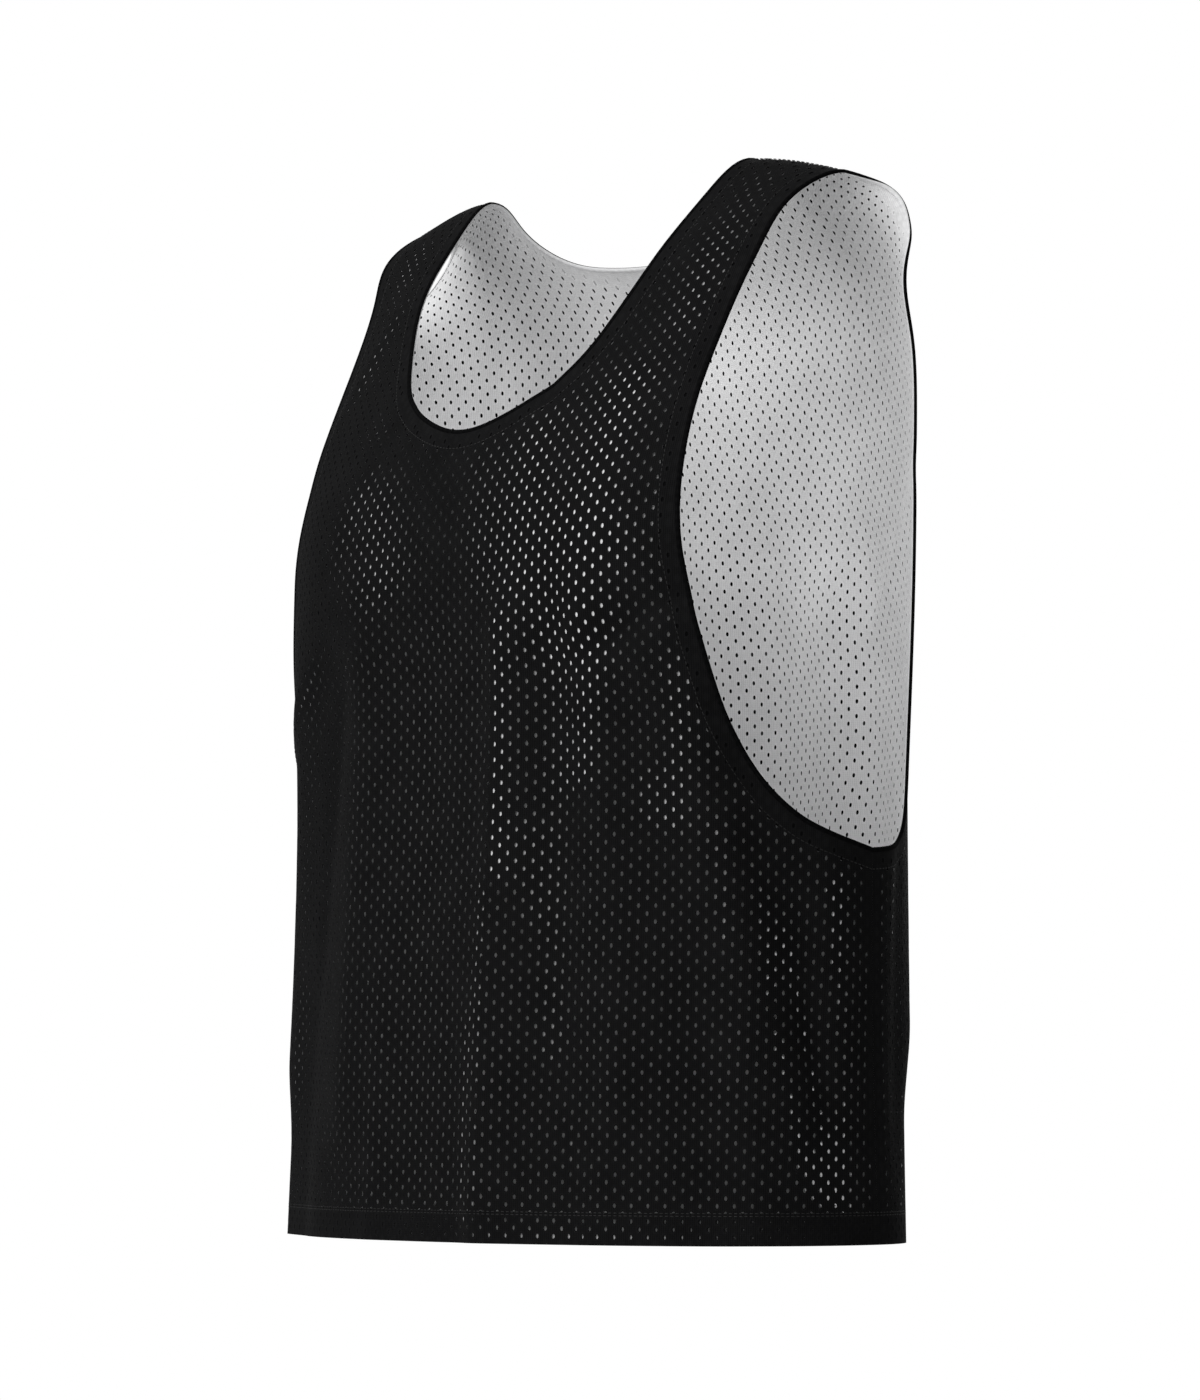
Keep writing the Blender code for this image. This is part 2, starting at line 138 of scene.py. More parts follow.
soft_lamp("KeyLamp", azimuth=10.0, away=2.6, height=0.35, size=2.4, power=36.0)
soft_lamp("HighLamp", azimuth=-20.0, away=1.8, height=1.8, size=1.8, power=38.0)
soft_lamp("BackLamp", azimuth=205.0, away=2.6, height=0.80, size=2.4, power=13.0)

bpy.ops.mesh.primitive_circle_add(vertices=FLOOR_SIDES, radius=FLOOR_RADIUS, fill_type="NGON",
                                  location=(0.0, 0.0, -MOUNT_HEIGHT - FLOOR_BELOW_HEM))
floor = bpy.context.object
floor.name = "Floor"
print("lamps and floor placed, floor at", round(floor.location.z, 3))

# %% [markdown]
# ## Writing shader maths as sums
# A knit's pattern is easier to read as a formula than as a web of nodes. The class below wraps
# one socket of a node tree. Adding or multiplying two of them adds the Math node that does it.

# %% A small class for shader maths
def plug(tree, socket, item):
    """Link item into a socket, or set it there if it is a plain number or colour."""
    if isinstance(item, Value):
        item = item.socket
    if isinstance(item, bpy.types.NodeSocket):
        tree.links.new(item, socket)
    else:
        socket.default_value = item


class Value:
    def __init__(self, tree, socket):
        self.tree, self.socket = tree, socket

    def math(self, operation, *items):
        node = self.tree.nodes.new("ShaderNodeMath")
        node.operation = operation
        for socket, item in zip(node.inputs, items):
            plug(self.tree, socket, item)
        return Value(self.tree, node.outputs[0])

    def __add__(self, other): return self.math("ADD", self, other)
    def __radd__(self, other): return self.math("ADD", other, self)
    def __sub__(self, other): return self.math("SUBTRACT", self, other)
    def __rsub__(self, other): return self.math("SUBTRACT", other, self)
    def __mul__(self, other): return self.math("MULTIPLY", self, other)
    def __rmul__(self, other): return self.math("MULTIPLY", other, self)
    def __truediv__(self, other): return self.math("DIVIDE", self, other)
    def __rtruediv__(self, other): return self.math("DIVIDE", other, self)
    def wave(self): return self.math("SINE", self * (2.0 * pi)) * 0.5 + 0.5
    def from_nearest(self): return self.math("WRAP", self, 0.5, -0.5)
    def least(self, other): return self.math("MINIMUM", self, other)
    def root(self): return self.math("SQRT", self)

    def step(self, low, high):
        """0 below low, 1 above high, and smooth between them."""
        node = self.tree.nodes.new("ShaderNodeMapRange")
        node.interpolation_type = "SMOOTHSTEP"
        plug(self.tree, node.inputs["Value"], self)
        node.inputs["From Min"].default_value, node.inputs["From Max"].default_value = low, high
        return Value(self.tree, node.outputs[0])


class Finish:
    """A material, its one Principled shader, and a short way to add any other node."""

    def __init__(self, name, **constants):
        self.material = bpy.data.materials.new(name)
        self.material.use_nodes = True
        self.tree = self.material.node_tree
        self.shader = self.tree.nodes["Principled BSDF"]
        for socket, value in constants.items():
            self.shader.inputs[socket.replace("_", " ")].default_value = value

    def node(self, kind, settings=None, output=0, **items):
        made = self.tree.nodes.new(kind)
        for setting, value in (settings or {}).items():
            setattr(made, setting, value)
        for socket, item in items.items():
            plug(self.tree, made.inputs[socket.replace("_", " ")], item)
        return Value(self.tree, made.outputs[output])

    def mix(self, share, low, high):
        made = self.tree.nodes.new("ShaderNodeMix")
        made.data_type = "RGBA"
        for socket, item in zip((made.inputs[0], made.inputs[6], made.inputs[7]),
                                (share, low, high)):
            plug(self.tree, socket, item)
        return Value(self.tree, made.outputs[2])

    def feed(self, socket, item):
        plug(self.tree, self.shader.inputs[socket], item)


# %% [markdown]
# ## The knit
# Pinnie mesh is a warp knit. Columns of fine loops run up the cloth, and at every few courses
# they part and leave a small upright oval. The holes are real geometry below. The material adds
# what is finer: the loops as bump, a thicker rim of yarn round each hole, and a slow change of
# tone. Its colour also follows that bump as painted shade: darker in the valleys between the
# loops, lighter where the loops and the rim stand high. It reads an attribute called `cut`, which
# holds each point's place in the flat cut, so that the pattern bends with the cloth instead of
# sliding over it.

# %% Black and white knit
HOLE_PITCH = 0.0098        # between holes in a row
HOLE_ROW = 0.0045          # between rows, each shifted by half a pitch
HOLE_WIDE, HOLE_TALL = 0.0019, 0.0030
LOOP_WIDE, LOOP_TALL = HOLE_PITCH / 8.0, HOLE_ROW / 4.0
RIM_FULL, RIM_GONE = 1.25, 2.4     # the rim's thick yarn, in radii of the hole
CLOUD_SCALE, FUZZ_SCALE = 38.0, 2400.0
KNIT_RELIEF = 0.00030              # height that the bump stands for


def flat_address(finish):
    """A point's place in the flat cut, and its `out` and `up`."""
    place = finish.node("ShaderNodeAttribute", {"attribute_name": "cut"}, output=1)
    parts = finish.node("ShaderNodeSeparateXYZ", Vector=place)
    return place, parts, Value(finish.tree, parts.socket.node.outputs[1])


def knit(name, dark, light, rough, bump, **constants):
    finish = Finish(name, **constants)
    place, out, up = flat_address(finish)
    ribs = (out / LOOP_WIDE).wave()
    courses = (up / LOOP_TALL + ribs * 0.35).wave()
    column, row = out / HOLE_PITCH, up / (2.0 * HOLE_ROW)

    def from_hole(shift):
        across = (column + shift).from_nearest() * (2.0 * HOLE_PITCH / HOLE_WIDE)
        along = (row + shift).from_nearest() * (4.0 * HOLE_ROW / HOLE_TALL)
        return (across * across + along * along).root()

    nearest = from_hole(0.0).least(from_hole(0.5))
    rim = 1.0 - nearest.step(RIM_FULL, RIM_GONE)
    cloudy = finish.node("ShaderNodeTexNoise", {"noise_dimensions": "3D"}, Vector=place,
                         Scale=CLOUD_SCALE, Detail=3.0, Roughness=0.6)
    fuzz = finish.node("ShaderNodeTexNoise", {"noise_dimensions": "3D"}, Vector=place,
                       Scale=FUZZ_SCALE, Detail=2.0, Roughness=0.7)
    height = ribs * 0.35 + courses * 0.25 + rim * 0.55 + fuzz * 0.30
    # Colour follows the bump's height: painted shade darkens the valleys between loops, and the
    # raised rim and loop tops are painted lighter, over a random cloud of tone.
    tone_and_valley_shade = ribs * 0.30 + courses * 0.20 + cloudy * 0.45 + fuzz * 0.25 + rim * 0.15
    tone_and_valley_shade = tone_and_valley_shade.step(0.25, 1.05)
    finish.feed("Base Color", finish.mix(tone_and_valley_shade, (*dark, 1.0), (*light, 1.0)))
    finish.feed("Roughness", rough + tone_and_valley_shade * 0.14)
    finish.feed("Normal", finish.node("ShaderNodeBump", Height=height, Strength=bump,
                                      Distance=KNIT_RELIEF))
    return finish.material


black_knit = knit("BlackKnit", (0.0037, 0.0037, 0.0039), (0.0104, 0.0104, 0.0108), 0.60, 0.55,
                  Specular_IOR_Level=0.015, Sheen_Weight=0.02, Sheen_Roughness=0.4)
white_knit = knit("WhiteKnit", (0.66, 0.66, 0.665), (0.86, 0.86, 0.865), 0.72, 0.45,
                  Specular_IOR_Level=0.25, Sheen_Weight=0.05, Sheen_Roughness=0.5)
print("knit materials:", black_knit.name, white_knit.name)

# %% [markdown]
# ## Plain cloth and thread
# The turned edges and facings are the same knit folded double, so their holes never line up and
# they read as whole cloth with a fine rib. Thread is a tight twist with a soft shine.

# %% Turned cloth, thread and the floor
TURNED_FUZZ_SCALE, TWIST_SCALE = 1300.0, 1800.0
TURNED_RELIEF = 0.00025


def turned(name, dark, light, **constants):
    finish = Finish(name, **constants)
    place, out, up = flat_address(finish)
    ribs = (out / LOOP_WIDE).wave() * (up / LOOP_TALL).wave()
    fuzz = finish.node("ShaderNodeTexNoise", Vector=place, Scale=TURNED_FUZZ_SCALE, Detail=3.0)
    # Colour follows the rib's height: painted shade darkens its valleys, mixed with random fuzz.
    tone_and_valley_shade = (ribs * 0.5 + fuzz * 0.6).step(0.2, 0.9)
    finish.feed("Base Color", finish.mix(tone_and_valley_shade, (*dark, 1.0), (*light, 1.0)))
    finish.feed("Roughness", 0.68 + tone_and_valley_shade * 0.16)
    finish.feed("Normal", finish.node("ShaderNodeBump", Height=ribs + fuzz * 0.5, Strength=0.4,
                                      Distance=TURNED_RELIEF))
    return finish.material


def thread(name, dark, light, **constants):
    finish = Finish(name, **constants)
    place = finish.node("ShaderNodeTexCoord", output=3)
    twist = finish.node("ShaderNodeTexNoise", Vector=place, Scale=TWIST_SCALE, Detail=2.0)
    finish.feed("Base Color", finish.mix(twist.step(0.3, 0.7), (*dark, 1.0), (*light, 1.0)))
    finish.feed("Roughness", 0.45 + twist * 0.2)
    return finish.material


black_turned = turned("BlackTurnedCloth", (0.0021, 0.0021, 0.0023), (0.0062, 0.0062, 0.0065),
                      Specular_IOR_Level=0.015)
white_turned = turned("WhiteTurnedCloth", (0.72, 0.72, 0.725), (0.88, 0.88, 0.885),
                      Specular_IOR_Level=0.25)
black_thread = thread("BlackThread", (0.006, 0.006, 0.006), (0.018, 0.018, 0.018),
                      Specular_IOR_Level=0.30)
white_thread = thread("WhiteThread", (0.76, 0.76, 0.76), (0.90, 0.90, 0.90),
                      Specular_IOR_Level=0.30)
pale = Finish("PaleFloor", Roughness=0.8, Base_Color=(0.92, 0.92, 0.92, 1.0))
floor.data.materials.append(pale.material)
print("turned cloth, thread and floor finished")

# %% [markdown]
# ## The worn shape
# Cloth is cut flat and worn round, so every point of it has two addresses. `out` and `up` say
# where it lies in the cut: sideways from the centre line, and up from the hem, along the cloth.
# The tables below say where that lands on the wearer: ten level sections for the front and ten
# for the back, each a superellipse. They are the same numbers as the solids were made from, so
# the cloth sits exactly where the solids are.

# %% Sections of the front and back
SHOULDER_UP = 0.675        # cloth from the hem to the shoulder seam
HIGHER_SHOULDER = 0.010    # the right shoulder sits this much higher than the left,
SLID_STRAP = 0.006         # with its strap slid inward
SHIFT_OUT = 0.070          # both begin this far from the centre line
SHIFT_UP = 0.450           # and this far above the hem
OUTLINE_SAMPLES = 361      # along a quarter of a level section
SLOPE_REACH = 0.0002       # cloth distance over which a slope is read

# Each row is a level section of the worn vest. `up` is its place in the cut, `height` its
# height over the hem, `middle` and `side` the places (y) of its centre line and its side,
# `squareness` its superellipse power, and `fall` its drop from the neck to the strap's end.
Section = namedtuple("Section", "name up height half_width middle side squareness fall")
FRONT_SECTIONS = [
    Section("hem",      0.000, 0.003, 0.223, -0.142, -0.001, 2.08, 0.000),
    Section("hip",      0.120, 0.120, 0.219, -0.138,  0.000, 2.08, 0.000),
    Section("underarm", 0.235, 0.235, 0.218, -0.132,  0.002, 2.15, 0.000),
    Section("ribs",     0.330, 0.330, 0.219, -0.129,  0.005, 2.40, 0.000),
    Section("chest",    0.410, 0.410, 0.222, -0.129,  0.006, 2.48, 0.000),
    Section("breast",   0.470, 0.470, 0.226, -0.116,  0.012, 2.34, 0.000),
    Section("collar",   0.530, 0.526, 0.229, -0.087,  0.033, 2.40, 0.000),
    Section("strap",    0.590, 0.578, 0.234, -0.058,  0.042, 2.40, 0.002),
    Section("shoulder", 0.640, 0.619, 0.240, -0.020,  0.025, 2.40, 0.008),
    Section("ridge",    0.675, 0.643, 0.240,  0.007,  0.130, 2.40, 0.016),
]
BACK_SECTIONS = [
    Section("hem",      0.000, 0.003, 0.223,  0.109, -0.001, 2.02, 0.000),
    Section("hip",      0.120, 0.120, 0.219,  0.114,  0.000, 2.02, 0.000),
    Section("underarm", 0.235, 0.235, 0.218,  0.117,  0.002, 2.06, 0.000),
    Section("ribs",     0.330, 0.330, 0.220,  0.121,  0.005, 2.08, 0.000),
    Section("chest",    0.410, 0.410, 0.222,  0.120,  0.008, 2.10, 0.000),
    Section("breast",   0.470, 0.470, 0.222,  0.116,  0.013, 2.10, 0.000),
    Section("collar",   0.530, 0.530, 0.220,  0.106,  0.018, 2.12, 0.000),
    Section("strap",    0.590, 0.588, 0.216,  0.089,  0.026, 2.20, 0.006),
    Section("shoulder", 0.640, 0.628, 0.240,  0.037,  0.088, 2.40, 0.011),
    Section("ridge",    0.675, 0.643, 0.240,  0.007,  0.130, 2.40, 0.016),
]
NECK_HALF = 0.100          # the shoulders start to fall this far out
STRAP_HALF = 0.178         # and have the table's fall at this distance
BACK_SLIDE = 0.015         # the back hangs this much toward the wearer's right, at the arms:
SLIDE_UP = 0.300           # from this far above the hem
SLIDE_GROWS = 0.200        # it grows over this length
SLIDE_ENDS = 0.060         # and fades over this one below the shoulder seam
RIDGE_RUN = 0.9            # how level the cloth lies as it crosses the shoulder seam
SEAM_BLEND = 0.050         # band beside the side seam that is drawn onto one seam line,
SEAM_TOP = 0.330           # up to this far above the hem

print(len(FRONT_SECTIONS), "sections in front and", len(BACK_SECTIONS), "behind")

# %% [markdown]
# ## Edges and folds of the cut
# A mark is one point of a cut edge, as a maker would note it on paper. A fold is a soft ridge
# or trough along a line in the cut. The large ones are in the solids too. The creases below
# them are finer and belong to the cloth alone: pulls from the chest, from the armholes and
# along the side seams, each with its own length and depth.

# %% Marks, folds and creases
# Pattern marks of the cut edges, from the side seam or the centre line to the shoulder.
Mark = namedtuple("Mark", "out up")
FRONT_ARMHOLE = [
    Mark(0.2620, 0.2310), Mark(0.2380, 0.2405), Mark(0.2095, 0.2655), Mark(0.1915, 0.2970),
    Mark(0.1780, 0.3420), Mark(0.1680, 0.3900), Mark(0.1635, 0.4400), Mark(0.1620, 0.5000),
    Mark(0.1640, 0.5600), Mark(0.1700, 0.6150), Mark(0.1730, SHOULDER_UP),
]
BACK_ARMHOLE = [
    Mark(0.2580, 0.2265), Mark(0.2440, 0.2290), Mark(0.2310, 0.2350), Mark(0.2205, 0.2500),
    Mark(0.2165, 0.2800), Mark(0.2180, 0.3300), Mark(0.2230, 0.3900), Mark(0.2300, 0.4500),
    Mark(0.2345, 0.5050), Mark(0.2330, 0.5500), Mark(0.2250, 0.5950), Mark(0.2060, 0.6400),
    Mark(0.1730, SHOULDER_UP),
]
ARMHOLE_FLOOR = 0.2255     # the armhole's lowest point, on the side seam
FRONT_NECK = [
    Mark(0.0000, 0.4770), Mark(0.0370, 0.4870), Mark(0.0690, 0.5095), Mark(0.0865, 0.5405),
    Mark(0.0995, 0.5790), Mark(0.1070, 0.6250), Mark(0.1150, SHOULDER_UP),
]
BACK_NECK = [
    Mark(0.0000, 0.6060), Mark(0.0460, 0.6090), Mark(0.0800, 0.6190), Mark(0.1015, 0.6385),
    Mark(0.1150, SHOULDER_UP),
]

# Soft folds: a ridge (depth over 0) or a trough (under 0) along a line in the cut.
Fold = namedtuple("Fold", "name out up to_out to_up width depth")
FRONT_FOLDS = [
    Fold("left chest",          0.120, 0.410,  0.105, 0.370, 0.045,  0.0050),
    Fold("right chest",        -0.115, 0.415, -0.100, 0.380, 0.045,  0.0050),
    Fold("centre ridge",        0.056, 0.345,  0.048, 0.020, 0.020,  0.0060),
    Fold("centre trough",       0.086, 0.350,  0.096, 0.120, 0.015, -0.0040),
    Fold("left ridge",          0.108, 0.360,  0.134, 0.120, 0.017,  0.0040),
    Fold("left armhole ridge",  0.158, 0.340,  0.226, 0.070, 0.021,  0.0055),
    Fold("left side crease",    0.200, 0.285,  0.240, 0.130, 0.015, -0.0040),
    Fold("left armhole dent",   0.160, 0.372,  0.128, 0.352, 0.013, -0.0030),
    Fold("left hem dent",       0.178, 0.120,  0.186, 0.030, 0.016, -0.0030),
    Fold("middle hem dent",     0.105, 0.070,  0.100, 0.000, 0.014, -0.0025),
    Fold("right trough",       -0.020, 0.320, -0.012, 0.030, 0.026, -0.0035),
    Fold("right ridge",        -0.070, 0.350, -0.082, 0.090, 0.022,  0.0045),
    Fold("right armhole ridge", -0.152, 0.335, -0.196, 0.110, 0.024, 0.0050),
    Fold("right side crease",  -0.205, 0.250, -0.228, 0.090, 0.018, -0.0040),
    Fold("right hem dent",     -0.140, 0.130, -0.150, 0.010, 0.018, -0.0030),
]
BACK_FOLDS = [
    Fold("left blade",          0.105, 0.490,  0.090, 0.430, 0.050,  0.0040),
    Fold("right blade",        -0.110, 0.485, -0.095, 0.430, 0.050,  0.0040),
    Fold("left ridge",          0.128, 0.400,  0.150, 0.060, 0.022,  0.0055),
    Fold("left trough",         0.090, 0.370,  0.104, 0.110, 0.020, -0.0045),
    Fold("left armhole ridge",  0.165, 0.330,  0.208, 0.130, 0.018,  0.0040),
    Fold("centre ridge",        0.030, 0.420,  0.042, 0.030, 0.024,  0.0050),
    Fold("centre trough",      -0.018, 0.400, -0.010, 0.080, 0.022, -0.0045),
    Fold("right ridge",        -0.074, 0.380, -0.066, 0.050, 0.022,  0.0050),
    Fold("right trough",       -0.118, 0.360, -0.126, 0.120, 0.020, -0.0040),
    Fold("right armhole ridge", -0.160, 0.340, -0.200, 0.080, 0.021, 0.0050),
]
FOLD_END = 0.060           # a fold fades out over this length past each end
SEAM_CALM = 0.035          # and within this distance of a side or shoulder seam

FRONT_CREASES = [
    Fold("centre fold edge",    0.047, 0.345,  0.042, 0.000, 0.009,  0.0024),
    Fold("left chest pull",     0.166, 0.366,  0.124, 0.346, 0.006, -0.0016),
    Fold("left armhole pull",   0.186, 0.300,  0.150, 0.332, 0.008,  0.0018),
    Fold("left side fold",      0.236, 0.215,  0.250, 0.090, 0.010, -0.0026),
    Fold("left low wave",       0.204, 0.105,  0.214, 0.000, 0.010,  0.0022),
    Fold("middle low wave",     0.128, 0.095,  0.122, 0.000, 0.009,  0.0018),
    Fold("centre low wave",     0.014, 0.120,  0.022, 0.000, 0.011, -0.0018),
    Fold("right low wave",     -0.046, 0.140, -0.052, 0.000, 0.011,  0.0018),
    Fold("right chest pull",   -0.100, 0.300, -0.122, 0.180, 0.010, -0.0018),
    Fold("right armhole pull", -0.182, 0.300, -0.150, 0.330, 0.008,  0.0018),
    Fold("right side fold",    -0.240, 0.210, -0.252, 0.080, 0.010, -0.0026),
    Fold("right hem wave",     -0.178, 0.100, -0.188, 0.000, 0.011,  0.0022),
    Fold("left neck pull",      0.062, 0.495,  0.084, 0.435, 0.007, -0.0010),
    Fold("right neck pull",    -0.060, 0.495, -0.080, 0.438, 0.007, -0.0010),
    Fold("left strap crease",   0.128, 0.590,  0.150, 0.520, 0.006,  0.0009),
    Fold("right strap crease", -0.126, 0.575, -0.146, 0.515, 0.006,  0.0009),
]
BACK_CREASES = [
    Fold("left blade pull",     0.200, 0.430,  0.150, 0.385, 0.009, -0.0020),
    Fold("left drop",           0.120, 0.330,  0.128, 0.100, 0.011,  0.0022),
    Fold("left low wave",       0.185, 0.125,  0.178, 0.000, 0.010, -0.0022),
    Fold("left side fold",      0.236, 0.205,  0.246, 0.080, 0.010, -0.0022),
    Fold("centre drop",        -0.002, 0.360,  0.008, 0.150, 0.010, -0.0018),
    Fold("centre low wave",     0.055, 0.110,  0.062, 0.000, 0.010,  0.0020),
    Fold("right drop",         -0.100, 0.350, -0.094, 0.120, 0.011,  0.0022),
    Fold("right low wave",     -0.150, 0.120, -0.158, 0.000, 0.010, -0.0022),
    Fold("right blade pull",   -0.200, 0.440, -0.150, 0.385, 0.009, -0.0020),
    Fold("right side fold",    -0.236, 0.205, -0.246, 0.080, 0.010, -0.0022),
    Fold("left yoke pull",      0.150, 0.600,  0.165, 0.520, 0.008,  0.0012),
    Fold("right yoke pull",    -0.150, 0.600, -0.160, 0.520, 0.008,  0.0012),
]

# Where the two layers lie on each other. Elsewhere the inner one hangs slack, in front more
# than behind, but the right half of the front and the left side of the back are pulled taut.
Touch = namedtuple("Touch", "name out up to_out to_up width share")
FRONT_SLACK, BACK_SLACK = 0.0075, 0.0016
PRESSED = 0.0006           # and where they touch, the inner one is this much nearer
FRONT_TAUT = Touch("right half", -0.200, 0.700, -0.200, -0.100, 0.240, 1.00)
BACK_TAUT = Touch("left side",    0.180, 0.700,  0.180, -0.100, 0.120, 1.00)
FRONT_TOUCHES = [
    Touch("left chest",         0.118, 0.500,  0.112, 0.400, 0.050, 0.97),
    Touch("left breast",        0.062, 0.490,  0.066, 0.385, 0.042, 0.92),
    Touch("below the chest",    0.108, 0.400,  0.100, 0.345, 0.048, 0.95),
    Touch("middle of the chest", 0.022, 0.470, 0.034, 0.380, 0.034, 0.72),
    Touch("left strap",         0.140, 0.540,  0.143, 0.690, 0.055, 0.92),
    Touch("right chest",       -0.070, 0.445, -0.052, 0.395, 0.055, 0.85),
    Touch("right strap",       -0.142, 0.540, -0.143, 0.680, 0.052, 0.75),
    Touch("right armhole side", -0.165, 0.520, -0.182, 0.400, 0.034, 0.85),
    Touch("centre stripe",      0.048, 0.360,  0.051, 0.215, 0.018, 0.95),
    Touch("left stripe",        0.090, 0.360,  0.088, 0.110, 0.024, 0.78),
    Touch("left stripe top",    0.112, 0.360,  0.106, 0.268, 0.022, 0.92),
    Touch("low stripe",         0.070, 0.240,  0.072, 0.190, 0.014, 0.50),
    Touch("armhole patch",      0.168, 0.330,  0.162, 0.240, 0.024, 0.90),
    Touch("inner patch",        0.144, 0.268,  0.146, 0.245, 0.012, 0.70),
    Touch("left side stripe",   0.188, 0.240,  0.192, 0.175, 0.012, 0.80),
    Touch("low patch",          0.102, 0.060,  0.104, 0.045, 0.012, 0.75),
    Touch("right stripe",      -0.160, 0.220, -0.165, 0.150, 0.020, 0.30),
    Touch("right side",        -0.220, 0.330, -0.220, 0.030, 0.075, 0.60),
]
BACK_TOUCHES = [
    Touch("left blade",         0.110, 0.540,  0.105, 0.430, 0.070, 1.00),
    Touch("right blade",       -0.110, 0.540, -0.105, 0.430, 0.070, 1.00),
    Touch("centre stripe",      0.032, 0.420,  0.042, 0.120, 0.014, 0.70),
    Touch("left stripe",        0.130, 0.400,  0.150, 0.080, 0.014, 0.66),
    Touch("right stripe",      -0.074, 0.380, -0.066, 0.060, 0.013, 0.66),
    Touch("right patch",       -0.170, 0.330, -0.190, 0.180, 0.020, 0.60),
    Touch("left patch",         0.200, 0.400,  0.205, 0.120, 0.040, 0.75),
]
print(len(FRONT_FOLDS) + len(FRONT_CREASES), "folds in front,",
      len(BACK_FOLDS) + len(BACK_CREASES), "behind")

# %% [markdown]
# ## From the cut to the wearer
# A natural cubic spline runs through the sections, so the cloth hangs in smooth curves between
# them. The folds then lift it along its own normal. This is slow for a hundred thousand points,
# so it is worked out once on a 4 mm grid over each panel, and read from there.

# %% The worn surface as functions
def smoothstep(x):
    x = np.clip(x, 0.0, 1.0)
    return x * x * (3.0 - 2.0 * x)


def spline(knots, values, at, end_slope=None):
    """Cubic spline through values[k, i] at knots[k], read for each column i at at[i].

    It is natural at its start, and at its end unless end_slope gives the slope there."""
    knots, values = np.asarray(knots, float), np.asarray(values, float)
    count = len(knots)
    step = np.diff(knots)
    rise = np.diff(values, axis=0) / step.reshape(-1, 1, 1)
    matrix, bend = np.zeros((count, count)), np.zeros_like(values)
    matrix[0, 0] = matrix[-1, -1] = 1.0
    for k in range(1, count - 1):
        matrix[k, k - 1:k + 2] = step[k - 1], 2.0 * (step[k - 1] + step[k]), step[k]
        bend[k] = 6.0 * (rise[k] - rise[k - 1])
    if end_slope is not None:
        matrix[-1, -2:] = step[-1], 2.0 * step[-1]
        bend[-1] = 6.0 * (end_slope - rise[-1])
    bend = np.linalg.solve(matrix, bend.reshape(count, -1)).reshape(values.shape)
    column = np.arange(values.shape[1])
    k = np.clip(np.searchsorted(knots, at) - 1, 0, count - 2)
    past, left = (at - knots[k])[:, None], (knots[k + 1] - at)[:, None]
    span = step[k][:, None]
    low, high = values[k, column], values[k + 1, column]
    bend_low, bend_high = bend[k, column], bend[k + 1, column]
    return ((bend_low * left**3 + bend_high * past**3) / (6.0 * span)
            + (low / span - bend_low * span / 6.0) * left
            + (high / span - bend_high * span / 6.0) * past)


def quarter_outline(section):
    """Cloth length, x and share of the centre's depth, from the centre line to the side."""
    turn = np.linspace(0.0, pi / 2.0, OUTLINE_SAMPLES)
    x = section.half_width * np.sin(turn) ** (2.0 / section.squareness)
    share = np.cos(turn) ** (2.0 / section.squareness)
    depth = section.middle - section.side
    length = np.concatenate([[0.0], np.cumsum(np.hypot(np.diff(x), depth * np.diff(share)))])
    return length, x, share


def section_points(section, out):
    """Points of one section at the cloth distances `out`; past the side it runs straight on."""
    length, x, share = quarter_outline(section)
    distance = np.abs(out)
    across = np.interp(distance, length, x)
    depth = section.middle - section.side
    past = np.maximum(0.0, distance - length[-1]) * np.sign(depth)
    y = section.side + depth * np.interp(distance, length, share) - past
    z = section.height - section.fall * (np.maximum(0.0, across - NECK_HALF)
                                         / (STRAP_HALF - NECK_HALF)) ** 2
    return np.stack([np.sign(out) * across, y, z], axis=-1)


def side_seam_out(sections, up):
    """Cloth distance from the centre line to the side seam."""
    quarter = [[[quarter_outline(s)[0][-1]]] for s in sections]
    return spline([s.up for s in sections], np.repeat(quarter, len(up), axis=1), up)[:, 0]


def side_seam_points(up):
    """The side seam's line, the same one for front and back."""
    rows = [[[s.half_width, s.side, s.height]] for s in FRONT_SECTIONS]
    return spline([s.up for s in FRONT_SECTIONS], np.repeat(rows, len(up), axis=1), up)


def stroke(line, out, up, fade):
    """1 along a line in the cut, falling off beside it and, over `fade`, past its ends."""
    run = np.array([line.to_out - line.out, line.to_up - line.up])
    long = np.hypot(*run)
    along = ((out - line.out) * run[0] + (up - line.up) * run[1]) / long
    aside = ((out - line.out) * run[1] - (up - line.up) * run[0]) / long
    ends = smoothstep(1.0 + along / fade) * smoothstep(1.0 + (long - along) / fade)
    return ends * np.exp(-((aside / line.width) ** 2))


def fold_height(folds, out, up, seam_out):
    """How far the folds lift the cloth outward."""
    lift = sum(fold.depth * stroke(fold, out, up, FOLD_END) for fold in folds)
    calm = smoothstep((seam_out - np.abs(out)) / SEAM_CALM)
    return lift * calm * smoothstep((SHOULDER_UP - up) / SEAM_CALM)


def smooth_points(sections, out, up):
    """The worn shape without its folds, from the hem's centre and the body's axis."""
    knots = [s.up for s in sections]
    toward_ridge = -np.sign(sections[0].middle)
    over = np.zeros((len(out), 3))
    over[:, 1] = toward_ridge * RIDGE_RUN

    def read(at_out):
        rows = np.stack([section_points(s, at_out) for s in sections])
        return spline(knots, rows, up, over)

    points = read(out)
    seam_out = side_seam_out(sections, up)
    side = np.sign(out)
    seam = side_seam_points(up) * np.stack([side, np.ones_like(side), np.ones_like(side)], axis=-1)
    beside = smoothstep((np.abs(out) - seam_out + SEAM_BLEND) / SEAM_BLEND)
    below_arm = smoothstep((SEAM_TOP - up) / SEAM_BLEND)
    points += (seam - read(side * seam_out)) * (beside * below_arm)[:, None]
    right = smoothstep((-out - SHIFT_OUT) / NECK_HALF)
    right = right * smoothstep((up - SHIFT_UP) / (SHOULDER_UP - SHIFT_UP))
    points += right[:, None] * (SLID_STRAP, 0.0, HIGHER_SHOULDER)
    return points


